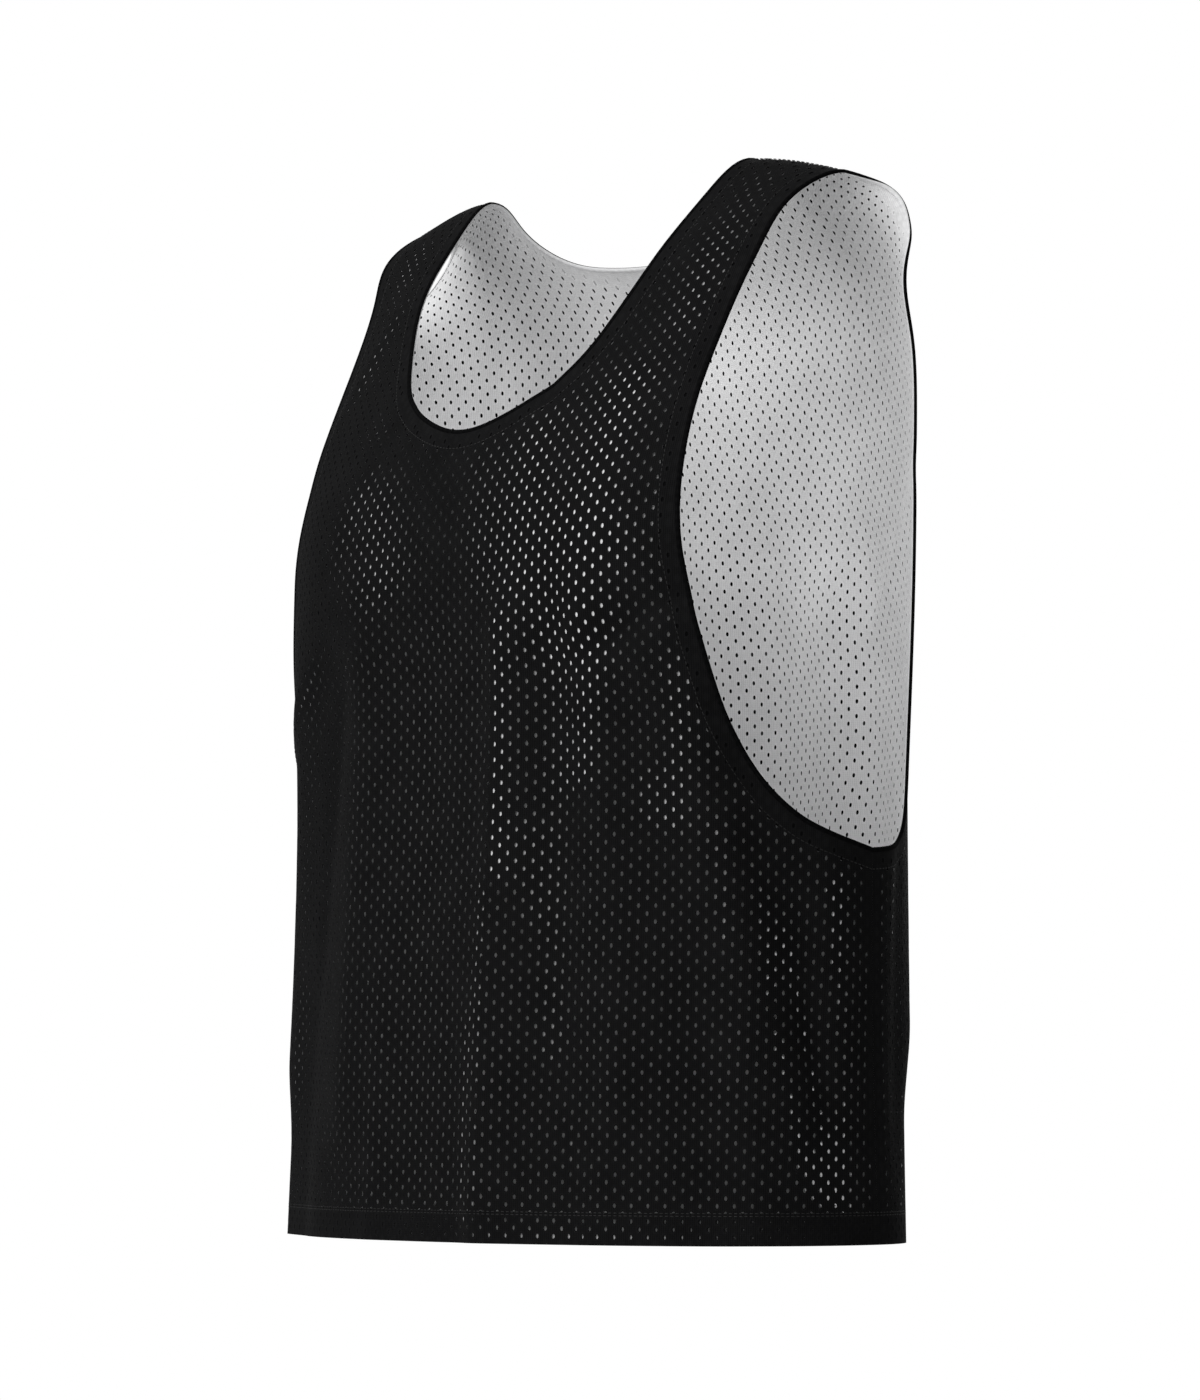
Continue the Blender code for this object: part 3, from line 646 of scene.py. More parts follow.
def normals_of(shape, out, up, outward):
    """Unit normals of shape(out, up), by its slopes along and across the cut."""
    along = shape(out + SLOPE_REACH, up) - shape(out - SLOPE_REACH, up)
    upward = shape(out, up + SLOPE_REACH) - shape(out, up - SLOPE_REACH)
    normal = np.cross(along, upward) * outward
    return normal / np.linalg.norm(normal, axis=1)[:, None]


class Panel:
    """One of the two cut shapes: its sections, folds, edges, and which way is outward."""

    def __init__(self, sections, folds, armhole, neck, outward, slide):
        self.sections, self.folds = sections, folds
        self.armhole, self.neck = armhole, neck
        self.outward, self.slide = outward, slide

    def unfolded(self, out, up):
        at_arms = smoothstep((up - SLIDE_UP) / SLIDE_GROWS)
        at_arms = at_arms * smoothstep((SHOULDER_UP - up) / SLIDE_ENDS)
        return smooth_points(self.sections, out - self.slide * at_arms, up)

    def folded(self, out, up):
        seam_out = side_seam_out(self.sections, up)
        lift = fold_height(self.folds, out, up, seam_out)
        normal = normals_of(self.unfolded, out, up, self.outward)
        return self.unfolded(out, up) + normal * lift[:, None]

    def worn(self, out, up):
        """Points and outward normals on the middle surface between the two layers."""
        out, up = np.asarray(out, float), np.asarray(up, float)
        points = self.folded(out, up) - np.array([0.0, MOUNT_BACK, MOUNT_HEIGHT])
        return points, normals_of(self.folded, out, up, self.outward)


FRONT = Panel(FRONT_SECTIONS, FRONT_FOLDS + FRONT_CREASES, FRONT_ARMHOLE, FRONT_NECK, 1.0, 0.0)
BACK = Panel(BACK_SECTIONS, BACK_FOLDS + BACK_CREASES, BACK_ARMHOLE, BACK_NECK, -1.0, BACK_SLIDE)
middle, _ = FRONT.worn([0.0], [0.3])
print("the front's middle lies at", middle[0].round(3))

# %% [markdown]
# ## The flat cut
# Smooth lines through the marks give each panel's outline, as a paper pattern would. Its area
# is the cloth that the panel takes.

# %% Outlines of the cut
EDGE_STEP = 0.004          # between points along a cut edge
AT_A_TIME = 4000           # points whose distance is measured together


def along_marks(marks, step=EDGE_STEP):
    """Evenly spaced (out, up) points on a smooth line through the marks."""
    marks = np.array(marks, float)
    knots = np.concatenate([[0.0], np.cumsum(np.linalg.norm(np.diff(marks, axis=0), axis=1))])
    count = max(2, round(knots[-1] / step) + 1)
    at = np.linspace(0.0, knots[-1], count)
    return spline(knots, np.repeat(marks[:, None, :], count, axis=1), at)


def armhole_line(panel):
    """From the side seam's top to the shoulder seam."""
    floor_out = side_seam_out(panel.sections, np.array([ARMHOLE_FLOOR]))[0]
    return along_marks([(floor_out, ARMHOLE_FLOOR)] + panel.armhole)


def neck_line(panel):
    """From the right shoulder seam through the centre line to the left one."""
    return along_marks([(-mark.out, mark.up) for mark in panel.neck[:0:-1]] + panel.neck)


def straight(start, end, step=EDGE_STEP):
    return np.linspace(start, end, max(2, round(np.hypot(*np.subtract(end, start)) / step) + 1))


def side_line(panel, top=ARMHOLE_FLOOR):
    up = np.linspace(0.0, top, round(top / EDGE_STEP) + 1)
    return np.stack([side_seam_out(panel.sections, up), up], axis=-1)


def cut_outline(panel):
    armhole, neck, side = armhole_line(panel), neck_line(panel), side_line(panel)
    left = np.concatenate([side, armhole[1:], straight(armhole[-1], neck[-1])[1:-1]])
    return np.concatenate([straight(side[0] * (-1.0, 1.0), side[0])[:-1], left, neck[::-1],
                           left[::-1] * (-1.0, 1.0)])[:-1]


def hem_outline(panel, depth):
    side = side_line(panel, depth)
    return np.concatenate([straight(side[0] * (-1.0, 1.0), side[0])[:-1], side,
                           straight(side[-1], side[-1] * (-1.0, 1.0))[1:-1],
                           side[::-1] * (-1.0, 1.0)])[:-1]


def flat_area(outline):
    after = np.roll(outline, -1, axis=0)
    return abs(float((outline[:, 0] * after[:, 1] - after[:, 0] * outline[:, 1]).sum())) / 2.0


def inside_distance(points, outline):
    """Distance of each point from the outline, below 0 outside it."""
    start, end = outline, np.roll(outline, -1, axis=0)
    edge = end - start
    rise = np.where(edge[:, 1] == 0.0, 1.0, edge[:, 1])
    found = []
    for some in np.array_split(points, len(points) // AT_A_TIME + 1):
        offset = some[:, None, :] - start
        share = np.clip((offset * edge).sum(-1) / (edge**2).sum(-1), 0.0, 1.0)
        nearest = np.linalg.norm(offset - share[..., None] * edge, axis=-1).min(axis=1)
        above = (start[:, 1] > some[:, 1:2]) != (end[:, 1] > some[:, 1:2])
        crossing = start[:, 0] + (some[:, 1:2] - start[:, 1]) * edge[:, 0] / rise
        inside = (above & (some[:, 0:1] < crossing)).sum(axis=1) % 2 == 1
        found.append(np.where(inside, nearest, -nearest))
    return np.concatenate(found)


for panel, place in ((FRONT, "front"), (BACK, "back")):
    outline = cut_outline(panel)
    print(place, "cut", np.ptp(outline, axis=0).round(3), "m, area", round(flat_area(outline), 4))

# %% [markdown]
# ## One grid for each panel
# The grid holds the worn point, its normal, the gap between the layers, and how free they are
# of each other. Cubic weights read it anywhere between its points, so the folds stay smooth.

# %% The worn surface on a grid
GRID = 0.004
GRID_LOW = np.array([-0.304, -0.012])   # its first point, a little outside both cuts
GRID_COUNT = (154, 176)                 # its points along out and up
EDGE_HELD = 0.030          # over this distance from an edge the layers part
TURNED_IN = 0.013          # the cloth turned in at an edge keeps them from pressing


class Worn:
    def __init__(self, panel, touches, slack, taut):
        self.panel = panel
        lines = [low + GRID * np.arange(count) for low, count in zip(GRID_LOW, GRID_COUNT)]
        out, up = np.meshgrid(*lines, indexing="ij")
        out, up = out.ravel(), up.ravel()
        points, normals = panel.worn(out, up)
        edge = inside_distance(np.stack([out, up], axis=-1), cut_outline(panel))
        apart = np.ones_like(out)
        for touch in touches:
            apart *= 1.0 - touch.share * stroke(touch, out, up, touch.width)
        free = smoothstep(edge / EDGE_HELD)
        gap = slack * apart * (1.0 - taut.share * stroke(taut, out, up, taut.width))
        clear = smoothstep((edge - TURNED_IN) / TURNED_IN)
        gap = gap * free - PRESSED * (1.0 - apart) * clear
        apart *= free
        self.table = np.column_stack([points, normals, gap, apart]).reshape(*GRID_COUNT, 8)

    def read(self, out, up):
        """Points, unit normals, gap, and how far apart (0 to 1), at any places in the cut."""
        at = (np.column_stack([out, up]) - GRID_LOW) / GRID
        cell = np.clip(np.floor(at).astype(int), 1, np.array(self.table.shape[:2]) - 3)
        t = at - cell
        weights = np.stack([t * (-0.5 + t * (1.0 - 0.5 * t)), 1.0 + t * t * (1.5 * t - 2.5),
                            t * (0.5 + t * (2.0 - 1.5 * t)), t * t * (0.5 * t - 0.5)])
        found = 0.0
        for i in range(4):
            for j in range(4):
                share = (weights[i, :, 0] * weights[j, :, 1])[:, None]
                found = found + share * self.table[cell[:, 0] + i - 1, cell[:, 1] + j - 1]
        normals = found[:, 3:6] / np.linalg.norm(found[:, 3:6], axis=1)[:, None]
        return found[:, :3], normals, found[:, 6], found[:, 7]


worn_front = Worn(FRONT, FRONT_TOUCHES, FRONT_SLACK, FRONT_TAUT)
worn_back = Worn(BACK, BACK_TOUCHES, BACK_SLACK, BACK_TAUT)
print("grids", worn_front.table.shape, worn_back.table.shape)

# %% [markdown]
# ## A small class for Geometry Nodes
# Everything on this vest that repeats is made by Geometry Nodes: holes and stitches. Each tree
# is a recipe with named inputs. Running it on an object sets them by their identifiers,
# evaluates the object once and returns a plain mesh.

# %% Recipes
class Recipe:
    def __init__(self, name):
        self.tree = bpy.data.node_groups.new(name, "GeometryNodeTree")
        self.tree.is_modifier = True
        self.tree.interface.new_socket("Geometry", in_out="OUTPUT",
                                       socket_type="NodeSocketGeometry")
        self.start = self.tree.nodes.new("NodeGroupInput")
        self.geometry = self.ask("Geometry", "Geometry")

    def ask(self, name, kind):
        self.tree.interface.new_socket(name, in_out="INPUT", socket_type="NodeSocket" + kind)
        return Value(self.tree, self.start.outputs[name])

    def node(self, kind, settings=None, output=0, places=None, **items):
        """Any node: its settings first, then its inputs by name, or by place in `places`."""
        made = self.tree.nodes.new(kind)
        for setting, value in (settings or {}).items():
            setattr(made, setting, value)
        for place, item in (places or {}).items():
            plug(self.tree, made.inputs[place], item)
        for socket, item in items.items():
            plug(self.tree, made.inputs[socket.replace("_", " ")], item)
        return Value(self.tree, made.outputs[output])

    def serve(self, geometry):
        plug(self.tree, self.tree.nodes.new("NodeGroupOutput").inputs[0], geometry)

    def run(self, thing, **inputs):
        modifier = thing.modifiers.new(self.tree.name, "NODES")
        modifier.node_group = self.tree
        for item in self.tree.interface.items_tree:
            if item.in_out == "INPUT" and item.name.replace(" ", "_") in inputs:
                modifier[item.identifier] = inputs[item.name.replace(" ", "_")]
        seen = thing.evaluated_get(bpy.context.evaluated_depsgraph_get())
        mesh = bpy.data.meshes.new_from_object(seen)
        thing.modifiers.remove(modifier)
        return mesh


def new_object(name, points, faces, edges=()):
    mesh = bpy.data.meshes.new(name)
    mesh.from_pydata(np.asarray(points).tolist(), list(edges), faces)
    thing = bpy.data.objects.new(name, mesh)
    bpy.context.scene.collection.objects.link(thing)
    return thing


def discard(*things):
    for thing in things:
        mesh = thing.data
        bpy.data.objects.remove(thing)
        bpy.data.meshes.remove(mesh)


# %% [markdown]
# ## One hole
# Staggered holes tile the cloth in diamonds, one hole in each. The tile is such a diamond: eight
# points round an oval, a short lip that shows how thick the cloth is, and three triangles in
# each quarter out to the diamond's corners. Six thousand of them make a panel, so it stays small.

# %% The tile
LIP, LIP_INWARD = 0.0002, 0.0001
HOLE_SIDES = 8             # two in each quarter
QUARTERS = 4


def hole_tile():
    turns = 2.0 * pi * np.arange(HOLE_SIDES) / HOLE_SIDES
    circle = np.column_stack([np.cos(turns), np.sin(turns)])
    half = np.array([HOLE_WIDE, HOLE_TALL]) / 2.0
    rim = np.column_stack([circle * half, np.zeros(HOLE_SIDES)])
    lip = np.column_stack([circle * (half - LIP_INWARD), np.full(HOLE_SIDES, -LIP)])
    corners = [(HOLE_PITCH / 2.0, 0.0, 0.0), (0.0, HOLE_ROW, 0.0),
               (-HOLE_PITCH / 2.0, 0.0, 0.0), (0.0, -HOLE_ROW, 0.0)]
    faces = []
    for k in range(QUARTERS):
        here, there = 2 * HOLE_SIDES + k, 2 * HOLE_SIDES + (k + 1) % QUARTERS
        a, b, c = 2 * k, 2 * k + 1, (2 * k + 2) % HOLE_SIDES
        faces += [(here, b, a), (here, there, b), (there, c, b)]
    for k in range(HOLE_SIDES):
        m = (k + 1) % HOLE_SIDES
        faces.append((k, m, m + HOLE_SIDES, k + HOLE_SIDES))
    return new_object("HoleTile", np.concatenate([rim, lip, corners]), faces)


tile = hole_tile()
print("one hole takes", sum(len(p.vertices) - 2 for p in tile.data.polygons), "triangles")

# %% [markdown]
# ## Thousands of holes
# The recipe lays a grid of points, shifts every other row by half a pitch, and keeps the points
# that lie inside the cut and clear of its edge. A ray cast down onto the flat cut says which
# are inside, and the distance to its border says which are clear. A tile goes on each.

# %% The recipe for perforated cloth
TILE_WELD = 0.0001         # corners nearer than this become one

perforate = Recipe("Perforated cloth")
tile_object = perforate.ask("Tile", "Object")
columns, rows = perforate.ask("Columns", "Int"), perforate.ask("Rows", "Int")
pitch, row = perforate.ask("Pitch", "Float"), perforate.ask("Row", "Float")
shift_out, shift_up = perforate.ask("Shift out", "Float"), perforate.ask("Shift up", "Float")
clear = perforate.ask("Clear of edge", "Float")
cloth = perforate.ask("Cloth", "Material")

grid = perforate.node("GeometryNodeMeshGrid", Size_X=(columns - 1.0) * pitch,
                      Size_Y=(rows - 1.0) * row, Vertices_X=columns, Vertices_Y=rows)
place = perforate.node("GeometryNodeInputPosition")
line = perforate.node("ShaderNodeSeparateXYZ", output=1, Vector=place) / row
odd = line.math("FLOORED_MODULO", line.math("ROUND", line), 2.0)
offset = perforate.node("ShaderNodeCombineXYZ", X=odd * pitch * 0.5 + shift_out, Y=shift_up)
grid = perforate.node("GeometryNodeSetPosition", Geometry=grid, Offset=offset)

above = perforate.node("ShaderNodeVectorMath", {"operation": "ADD"},
                       places={0: place, 1: (0.0, 0.0, 1.0)})
inside = perforate.node("GeometryNodeRaycast", Target_Geometry=perforate.geometry,
                        Source_Position=above, Ray_Direction=(0.0, 0.0, -1.0), Ray_Length=2.0)
faces_beside = perforate.node("GeometryNodeInputMeshEdgeNeighbors")
at_border = perforate.node("FunctionNodeCompare", {"data_type": "INT", "operation": "EQUAL"},
                           places={2: faces_beside, 3: 1})
border = perforate.node("GeometryNodeMeshToCurve", Mesh=perforate.geometry, Selection=at_border)
border = perforate.node("GeometryNodeCurveToMesh", Curve=border)
away = perforate.node("GeometryNodeProximity", {"target_element": "EDGES"}, output="Distance",
                      places={0: border})
far_enough = perforate.node("FunctionNodeCompare", {"operation": "GREATER_THAN"},
                            places={0: away, 1: clear})
keep = perforate.node("FunctionNodeBooleanMath", places={0: inside, 1: far_enough})
one_tile = perforate.node("GeometryNodeObjectInfo", output="Geometry", Object=tile_object)
tiles = perforate.node("GeometryNodeInstanceOnPoints", Points=grid, Selection=keep,
                       Instance=one_tile)
made = perforate.node("GeometryNodeRealizeInstances", Geometry=tiles)
made = perforate.node("GeometryNodeMergeByDistance", Geometry=made, Distance=TILE_WELD)
perforate.serve(perforate.node("GeometryNodeSetMaterial", Geometry=made, Material=cloth))
print("perforated cloth takes", len(perforate.tree.nodes), "nodes")

# %% [markdown]
# ## From flat cloth to worn cloth
# A layer is first laid out flat: whole tiles inside, and a plain band that fills the rest of the
# way to the cut edge, as on real mesh, whose edge never runs evenly through its holes. Then
# every point is lifted onto the worn surface. `side` is 1 for a layer seen from outside and -1
# for one seen from inside, and `lift` is its distance from the middle surface on that side.

# %% Laying out and wearing a layer
COLUMNS, ROWS = 67, 163
HOLE_RISE = 0.0005         # the lowest row of holes lies this much over a whole row
MIDDLE_UP = 0.333 + HOLE_RISE   # the hole grid's middle row
CLEAR = 0.00495            # from a hole's centre to the nearest cut edge
WELD = 0.00002             # where the plain band meets the tiles
SAME_PLACE = 1e-7          # points of the flat cut nearer than this are one
SHARP = 35.0               # degrees
SEAM_PULL, SEAM_PULL_WIDE = 0.00045, 0.0030    # a seam draws its cloth in beside it
UV_SPAN, UV_LOW = 0.70, 0.02
SIT_BACK = np.array([HOLE_PITCH / 2.0, 0.0])   # sets the inner layer's holes between the outer's


def arrays(mesh):
    points = np.empty(len(mesh.vertices) * 3)
    mesh.vertices.foreach_get("co", points)
    return points.reshape(-1, 3), [tuple(face.vertices) for face in mesh.polygons]


def zigzag(mesh, points):
    """Vertex pairs along the tiles' outer border, without the lips inside the holes."""
    ends, uses = np.empty(len(mesh.edges) * 2, int), np.empty(len(mesh.loops), int)
    mesh.edges.foreach_get("vertices", ends)
    mesh.loops.foreach_get("edge_index", uses)
    border = ends.reshape(-1, 2)[np.bincount(uses, minlength=len(mesh.edges)) == 1]
    return border[(points[border][:, :, 2] > -LIP / 2.0).all(axis=1)]


def diamond_of(at, shift):
    """Which diamond of the staggered rows each place lies in."""
    across = (at[:, 0] - shift[0]) / HOLE_PITCH
    along = (at[:, 1] - shift[1] - MIDDLE_UP) / (2.0 * HOLE_ROW)
    return np.round(np.column_stack([across + along, across - along])).astype(int)


def welded(name, points, faces):
    thing = new_object(name, points, faces)
    made = bmesh.new()
    made.from_mesh(thing.data)
    bmesh.ops.remove_doubles(made, verts=made.verts, dist=WELD)
    made.to_mesh(thing.data)
    made.free()
    return thing


def lay_out(name, outline, shift=(0.0, 0.0)):
    """Flat perforated cloth inside an outline, as points and faces."""
    flat = new_object("FlatCut", np.column_stack([outline, np.zeros(len(outline))]),
                      [tuple(range(len(outline)))])
    mesh = perforate.run(flat, Tile=tile, Columns=COLUMNS, Rows=ROWS, Pitch=HOLE_PITCH,
                         Row=HOLE_ROW, Shift_out=float(shift[0]),
                         Shift_up=float(shift[1]) + MIDDLE_UP, Clear_of_edge=CLEAR,
                         Cloth=black_knit)
    points, faces = arrays(mesh)
    border = zigzag(mesh, points)
    used, border = np.unique(border, return_inverse=True)
    around = np.arange(len(outline))
    at = np.concatenate([outline, points[used, :2]])
    lines = np.column_stack([around, np.roll(around, -1)]).tolist()
    lines += (border.reshape(-1, 2) + len(outline)).tolist()
    found = delaunay_2d_cdt([Vector(p) for p in at], lines, [], 0, SAME_PLACE)
    at, triangles = np.array(found[0]), np.array(found[2])
    middles = at[triangles].mean(axis=1)
    holes = np.array([points[list(face), :2].mean(axis=0) for face in faces if len(face) == 4])
    whole = {tuple(cell) for cell in diamond_of(holes, shift)}
    plain = np.array([tuple(cell) not in whole for cell in diamond_of(middles, shift)])
    band = triangles[plain & (inside_distance(middles, outline) > 0.0)] + len(points)
    points = np.concatenate([points, np.column_stack([at, np.zeros(len(at))])])
    thing = welded(name, points, faces + [tuple(face) for face in band.tolist()])
    print(name, len(whole), "holes")
    flat_cloth = arrays(thing.data)
    discard(flat, thing)
    bpy.data.meshes.remove(mesh)
    return flat_cloth


def finish_mesh(name, points, faces, cut, material):
    """A worn piece with its material, its flat address, and a UV map from the flat cut."""
    thing = new_object(name, points, faces)
    mesh = thing.data
    corners = np.empty(len(mesh.loops), int)
    mesh.loops.foreach_get("vertex_index", corners)
    mesh.attributes.new("cut", "FLOAT_VECTOR", "POINT").data.foreach_set(
        "vector", np.column_stack([cut, np.zeros(len(cut))]).ravel())
    uv = np.column_stack([cut[:, 0] / UV_SPAN + 0.5, cut[:, 1] / UV_SPAN + UV_LOW])
    mesh.uv_layers.new(name="OFBake").data.foreach_set("uv", uv[corners].ravel())
    mesh.materials.append(material)
    made = bmesh.new()
    made.from_mesh(mesh)
    bmesh.ops.delete(made, geom=[v for v in made.verts if not v.link_faces], context="VERTS")
    made.to_mesh(mesh)
    made.free()
    mesh.shade_smooth()
    mesh.set_sharp_from_angle(angle=radians(SHARP))
    return thing


def seam_distance(panel, out, up):
    """Distance from the nearer of the side and shoulder seams."""
    to_side = np.where(up < ARMHOLE_FLOOR, side_seam_out(panel.sections, up) - np.abs(out), 1.0)
    return np.minimum(np.abs(to_side), np.abs(SHOULDER_UP - up))


def wear(name, flat_cloth, worn, side, lift, material, slips=(), phase=(0.0, 0.0), hangs=0.0):
    """Lifts flat cloth onto a panel's worn surface."""
    flat, faces = flat_cloth
    out, up = flat[:, 0], flat[:, 1]
    if slips:
        stays = np.prod([1.0 - slip.share * stroke(slip, out, up, slip.width) for slip in slips],
                        axis=0)
        out = out + SLIP * worn.read(out, up)[3] * (1.0 - stays)
    points, normals, gap, _ = worn.read(out, up)
    pulled = SEAM_PULL * np.exp(-((seam_distance(worn.panel, out, up) / SEAM_PULL_WIDE) ** 2))
    away = side * (lift + hangs * gap + flat[:, 2]) - pulled
    if side * worn.panel.outward < 0.0:
        faces = [face[::-1] for face in faces]
    return finish_mesh(name, points + normals * away[:, None], faces,
                       flat[:, :2] - np.array(phase) - (0.0, HOLE_RISE), material)


# %% [markdown]
# ## Four layers of mesh
# Black outside and white inside, each cut from the same two panels. The white holes sit between
# the black ones, so that white yarn shows through most black holes as a bright dot. Where a
# layer has slipped sideways, or hangs away in a fold, the dots go dim or dark.

# %% The panels
BLACK_LIFT, WHITE_LIFT = 0.00060, 0.00035
SLIP = -HOLE_PITCH / 2.0
FRONT_SLIPS = [
    Touch("right side",        -0.200, 0.360, -0.200, 0.040, 0.120, 1.00),
    Touch("right middle",      -0.050, 0.330, -0.050, 0.040, 0.080, 1.00),
    Touch("centre",             0.065, 0.340,  0.065, 0.020, 0.072, 1.00),
]
BACK_SLIPS = [
    Touch("left low",           0.120, 0.240,  0.130, 0.050, 0.040, 0.5),
    Touch("right low",         -0.120, 0.240, -0.130, 0.060, 0.050, 0.5),
]
layers = {}
for place, worn, slips in (("front", worn_front, FRONT_SLIPS), ("back", worn_back, BACK_SLIPS)):
    outline = cut_outline(worn.panel)
    black_flat = lay_out(place + "_outer_flat", outline)
    white_flat = lay_out(place + "_inner_flat", outline, SIT_BACK)
    layers[place + "_outer"] = wear(place + "_outer_cloth", black_flat, worn, 1.0, BLACK_LIFT,
                                    black_knit)
    layers[place + "_inner"] = wear(place + "_inner_cloth", white_flat, worn, -1.0, WHITE_LIFT,
                                    white_knit, slips, SIT_BACK, 1.0)
for layer in layers.values():
    print(layer.name, sum(len(p.vertices) - 2 for p in layer.data.polygons), "triangles")

# %% [markdown]
# ## Allowances and hems
# At the neck and armholes the two layers are sewn together inside out and turned, which leaves a
# strip of each layer's cloth folded back between them. Nothing shows through the holes there, so
# the edge reads as a solid band. The hems are turned up once, a little wider, and keep their
# holes, so a few dots still line up.

# %% Strips of turned cloth
ALLOWANCE, ALLOWANCE_ROW = 0.0112, 0.0028
BLACK_STRIP, WHITE_STRIP = 0.00025, 0.00005
HEM_DEPTH = 0.0190
HEM_DRAWN = np.array([1.013, 1.0])             # the turned-up cloth is stretched this much,
HEM_MEETS = np.array([11.0 * HOLE_PITCH, 0.0])  # and its holes meet the others here


def inward(line):
    """Unit directions in the cut from an edge line into the cloth on its left."""
    run = np.gradient(line, axis=0)
    return np.column_stack([-run[:, 1], run[:, 0]]) / np.linalg.norm(run, axis=1)[:, None]


def turned_lines(panel):
    """Both armholes and the neck in the cut, each with the cloth on its left."""
    armhole, neck = armhole_line(panel), neck_line(panel)
    return armhole, armhole[::-1] * (-1.0, 1.0), neck[::-1]


def strip(line, depth, spacing):
    """Flat points and faces of a strip along a line, on its left."""
    rows = round(depth / spacing) + 1
    ways = inward(line)
    flat = np.concatenate([line + ways * depth * k / (rows - 1) for k in range(rows)])
    count = len(line)
    faces = [(k * count + i, k * count + i + 1, (k + 1) * count + i + 1, (k + 1) * count + i)
             for k in range(rows - 1) for i in range(count - 1)]
    return np.column_stack([flat, np.zeros(len(flat))]), faces


def joined(name, things):
    """Several pieces of one cloth as one object."""
    points, faces, cuts, start = [], [], [], 0
    for thing in things:
        some, some_faces = arrays(thing.data)
        cut = np.empty(len(some) * 3)
        thing.data.attributes["cut"].data.foreach_get("vector", cut)
        points.append(some)
        cuts.append(cut.reshape(-1, 3)[:, :2])
        faces += [tuple(i + start for i in face) for face in some_faces]
        start += len(some)
    material = things[0].data.materials[0]
    discard(*things)
    return finish_mesh(name, np.concatenate(points), faces, np.concatenate(cuts), material)


turned_strips = {"outer": [], "inner": []}
for worn in (worn_front, worn_back):
    for layer, side, lift, material in (("outer", 1.0, BLACK_STRIP, black_turned),
                                        ("inner", -1.0, WHITE_STRIP, white_turned)):
        for edge in turned_lines(worn.panel):
            turned_strips[layer].append(wear("Strip", strip(edge, ALLOWANCE, ALLOWANCE_ROW), worn,
                                             side, lift, material))
outer_allowance = joined("outer_allowance", turned_strips["outer"])
inner_allowance = joined("inner_allowance", turned_strips["inner"])

hem_turns = {}
for place, worn in (("front", worn_front), ("back", worn_back)):
    relaxed = (hem_outline(worn.panel, HEM_DEPTH) - HEM_MEETS) / HEM_DRAWN + HEM_MEETS
    flat, faces = lay_out(place + "_hem_flat", relaxed)
    flat[:, :2] = (flat[:, :2] - HEM_MEETS) * HEM_DRAWN + HEM_MEETS
    turn_up = (flat, faces)
    for layer, side, lift, material in (("outer", 1.0, BLACK_STRIP, black_knit),
                                        ("inner", -1.0, WHITE_STRIP, white_knit)):
        name = f"{place}_{layer}_hem"
        hem_turns[name] = wear(name, turn_up, worn, side, lift, material)
print("strips and hems:", outer_allowance.name, inner_allowance.name, *hem_turns)

# %% [markdown]
# ## Turned edges
# The fold itself is a soft round roll, where two layers and their allowances turn back on each
# other. Outside it is black cloth and inside white. Round the neck they meet along its crest,
# and round the armholes the black comes a little further in. A tube of rings along the cut edge
# makes it, closed round the neck and each armhole.

# %% Rolls round the neck and armholes
ROLL_SIDES = 12
ROLL_PAST, ROLL_HALF_WIDE, ROLL_HALF_THICK = 0.0010, 0.0016, 0.0013
# A roll's own flat address: its length, squeezed to fit the UV map, and its girth.
ROLL_SQUEEZE, ROLL_OUT, ROLL_UP = 0.25, -0.30, 0.01


def roll(name, runs, white_from):
    """A closed tube just past the cut edges. Each ring's sides are white from `white_from` on."""
    points = np.concatenate([run[0] for run in runs])
    normals = np.concatenate([run[1] for run in runs])
    tangent = np.roll(points, -1, axis=0) - np.roll(points, 1, axis=0)
    tangent /= np.linalg.norm(tangent, axis=1)[:, None]
    past_edge = np.cross(normals, tangent)
    past_edge /= np.linalg.norm(past_edge, axis=1)[:, None]
    through = np.cross(tangent, past_edge)
    centre = points + past_edge * ROLL_PAST
    turns = 2.0 * pi * np.arange(ROLL_SIDES) / ROLL_SIDES
    rings = (centre[:, None] + past_edge[:, None] * (np.cos(turns) * ROLL_HALF_WIDE)[:, None]
             + through[:, None] * (np.sin(turns) * ROLL_HALF_THICK)[:, None])
    count = len(points)
    faces, inside = [], []
    for i in range(count):
        for k in range(ROLL_SIDES):
            j, m = (i + 1) % count, (k + 1) % ROLL_SIDES
            faces.append((i * ROLL_SIDES + k, i * ROLL_SIDES + m, j * ROLL_SIDES + m,
                          j * ROLL_SIDES + k))
            inside.append(white_from <= k < ROLL_SIDES + ROLL_SIDES // 2 - white_from)
    length = np.concatenate([[0.0], np.cumsum(np.linalg.norm(np.diff(points, axis=0), axis=1))])
    cut = np.column_stack([np.repeat(length, ROLL_SIDES) * ROLL_SQUEEZE + ROLL_OUT,
                           np.tile(turns * ROLL_HALF_WIDE, count) + ROLL_UP])
    thing = finish_mesh(name, rings.reshape(-1, 3), faces, cut, black_turned)
    thing.data.materials.append(white_turned)
    thing.data.polygons.foreach_set("material_index", np.array(inside, int))
    return thing


def edge_points(worn, line):
    points, normals, _, _ = worn.read(line[:, 0], line[:, 1])
    return points, normals


def neck_runs():
    front, back = neck_line(FRONT), neck_line(BACK)
    return [edge_points(worn_front, front), edge_points(worn_back, back[-2:0:-1])]


def armhole_runs(side):
    front, back = armhole_line(FRONT), armhole_line(BACK)
    runs = [edge_points(worn_front, front[::-1] * (side, 1.0)),
            edge_points(worn_back, back[1:-1] * (side, 1.0))]
    if side < 0.0:
        runs = [(points[::-1], normals[::-1]) for points, normals in runs[::-1]]
    return runs


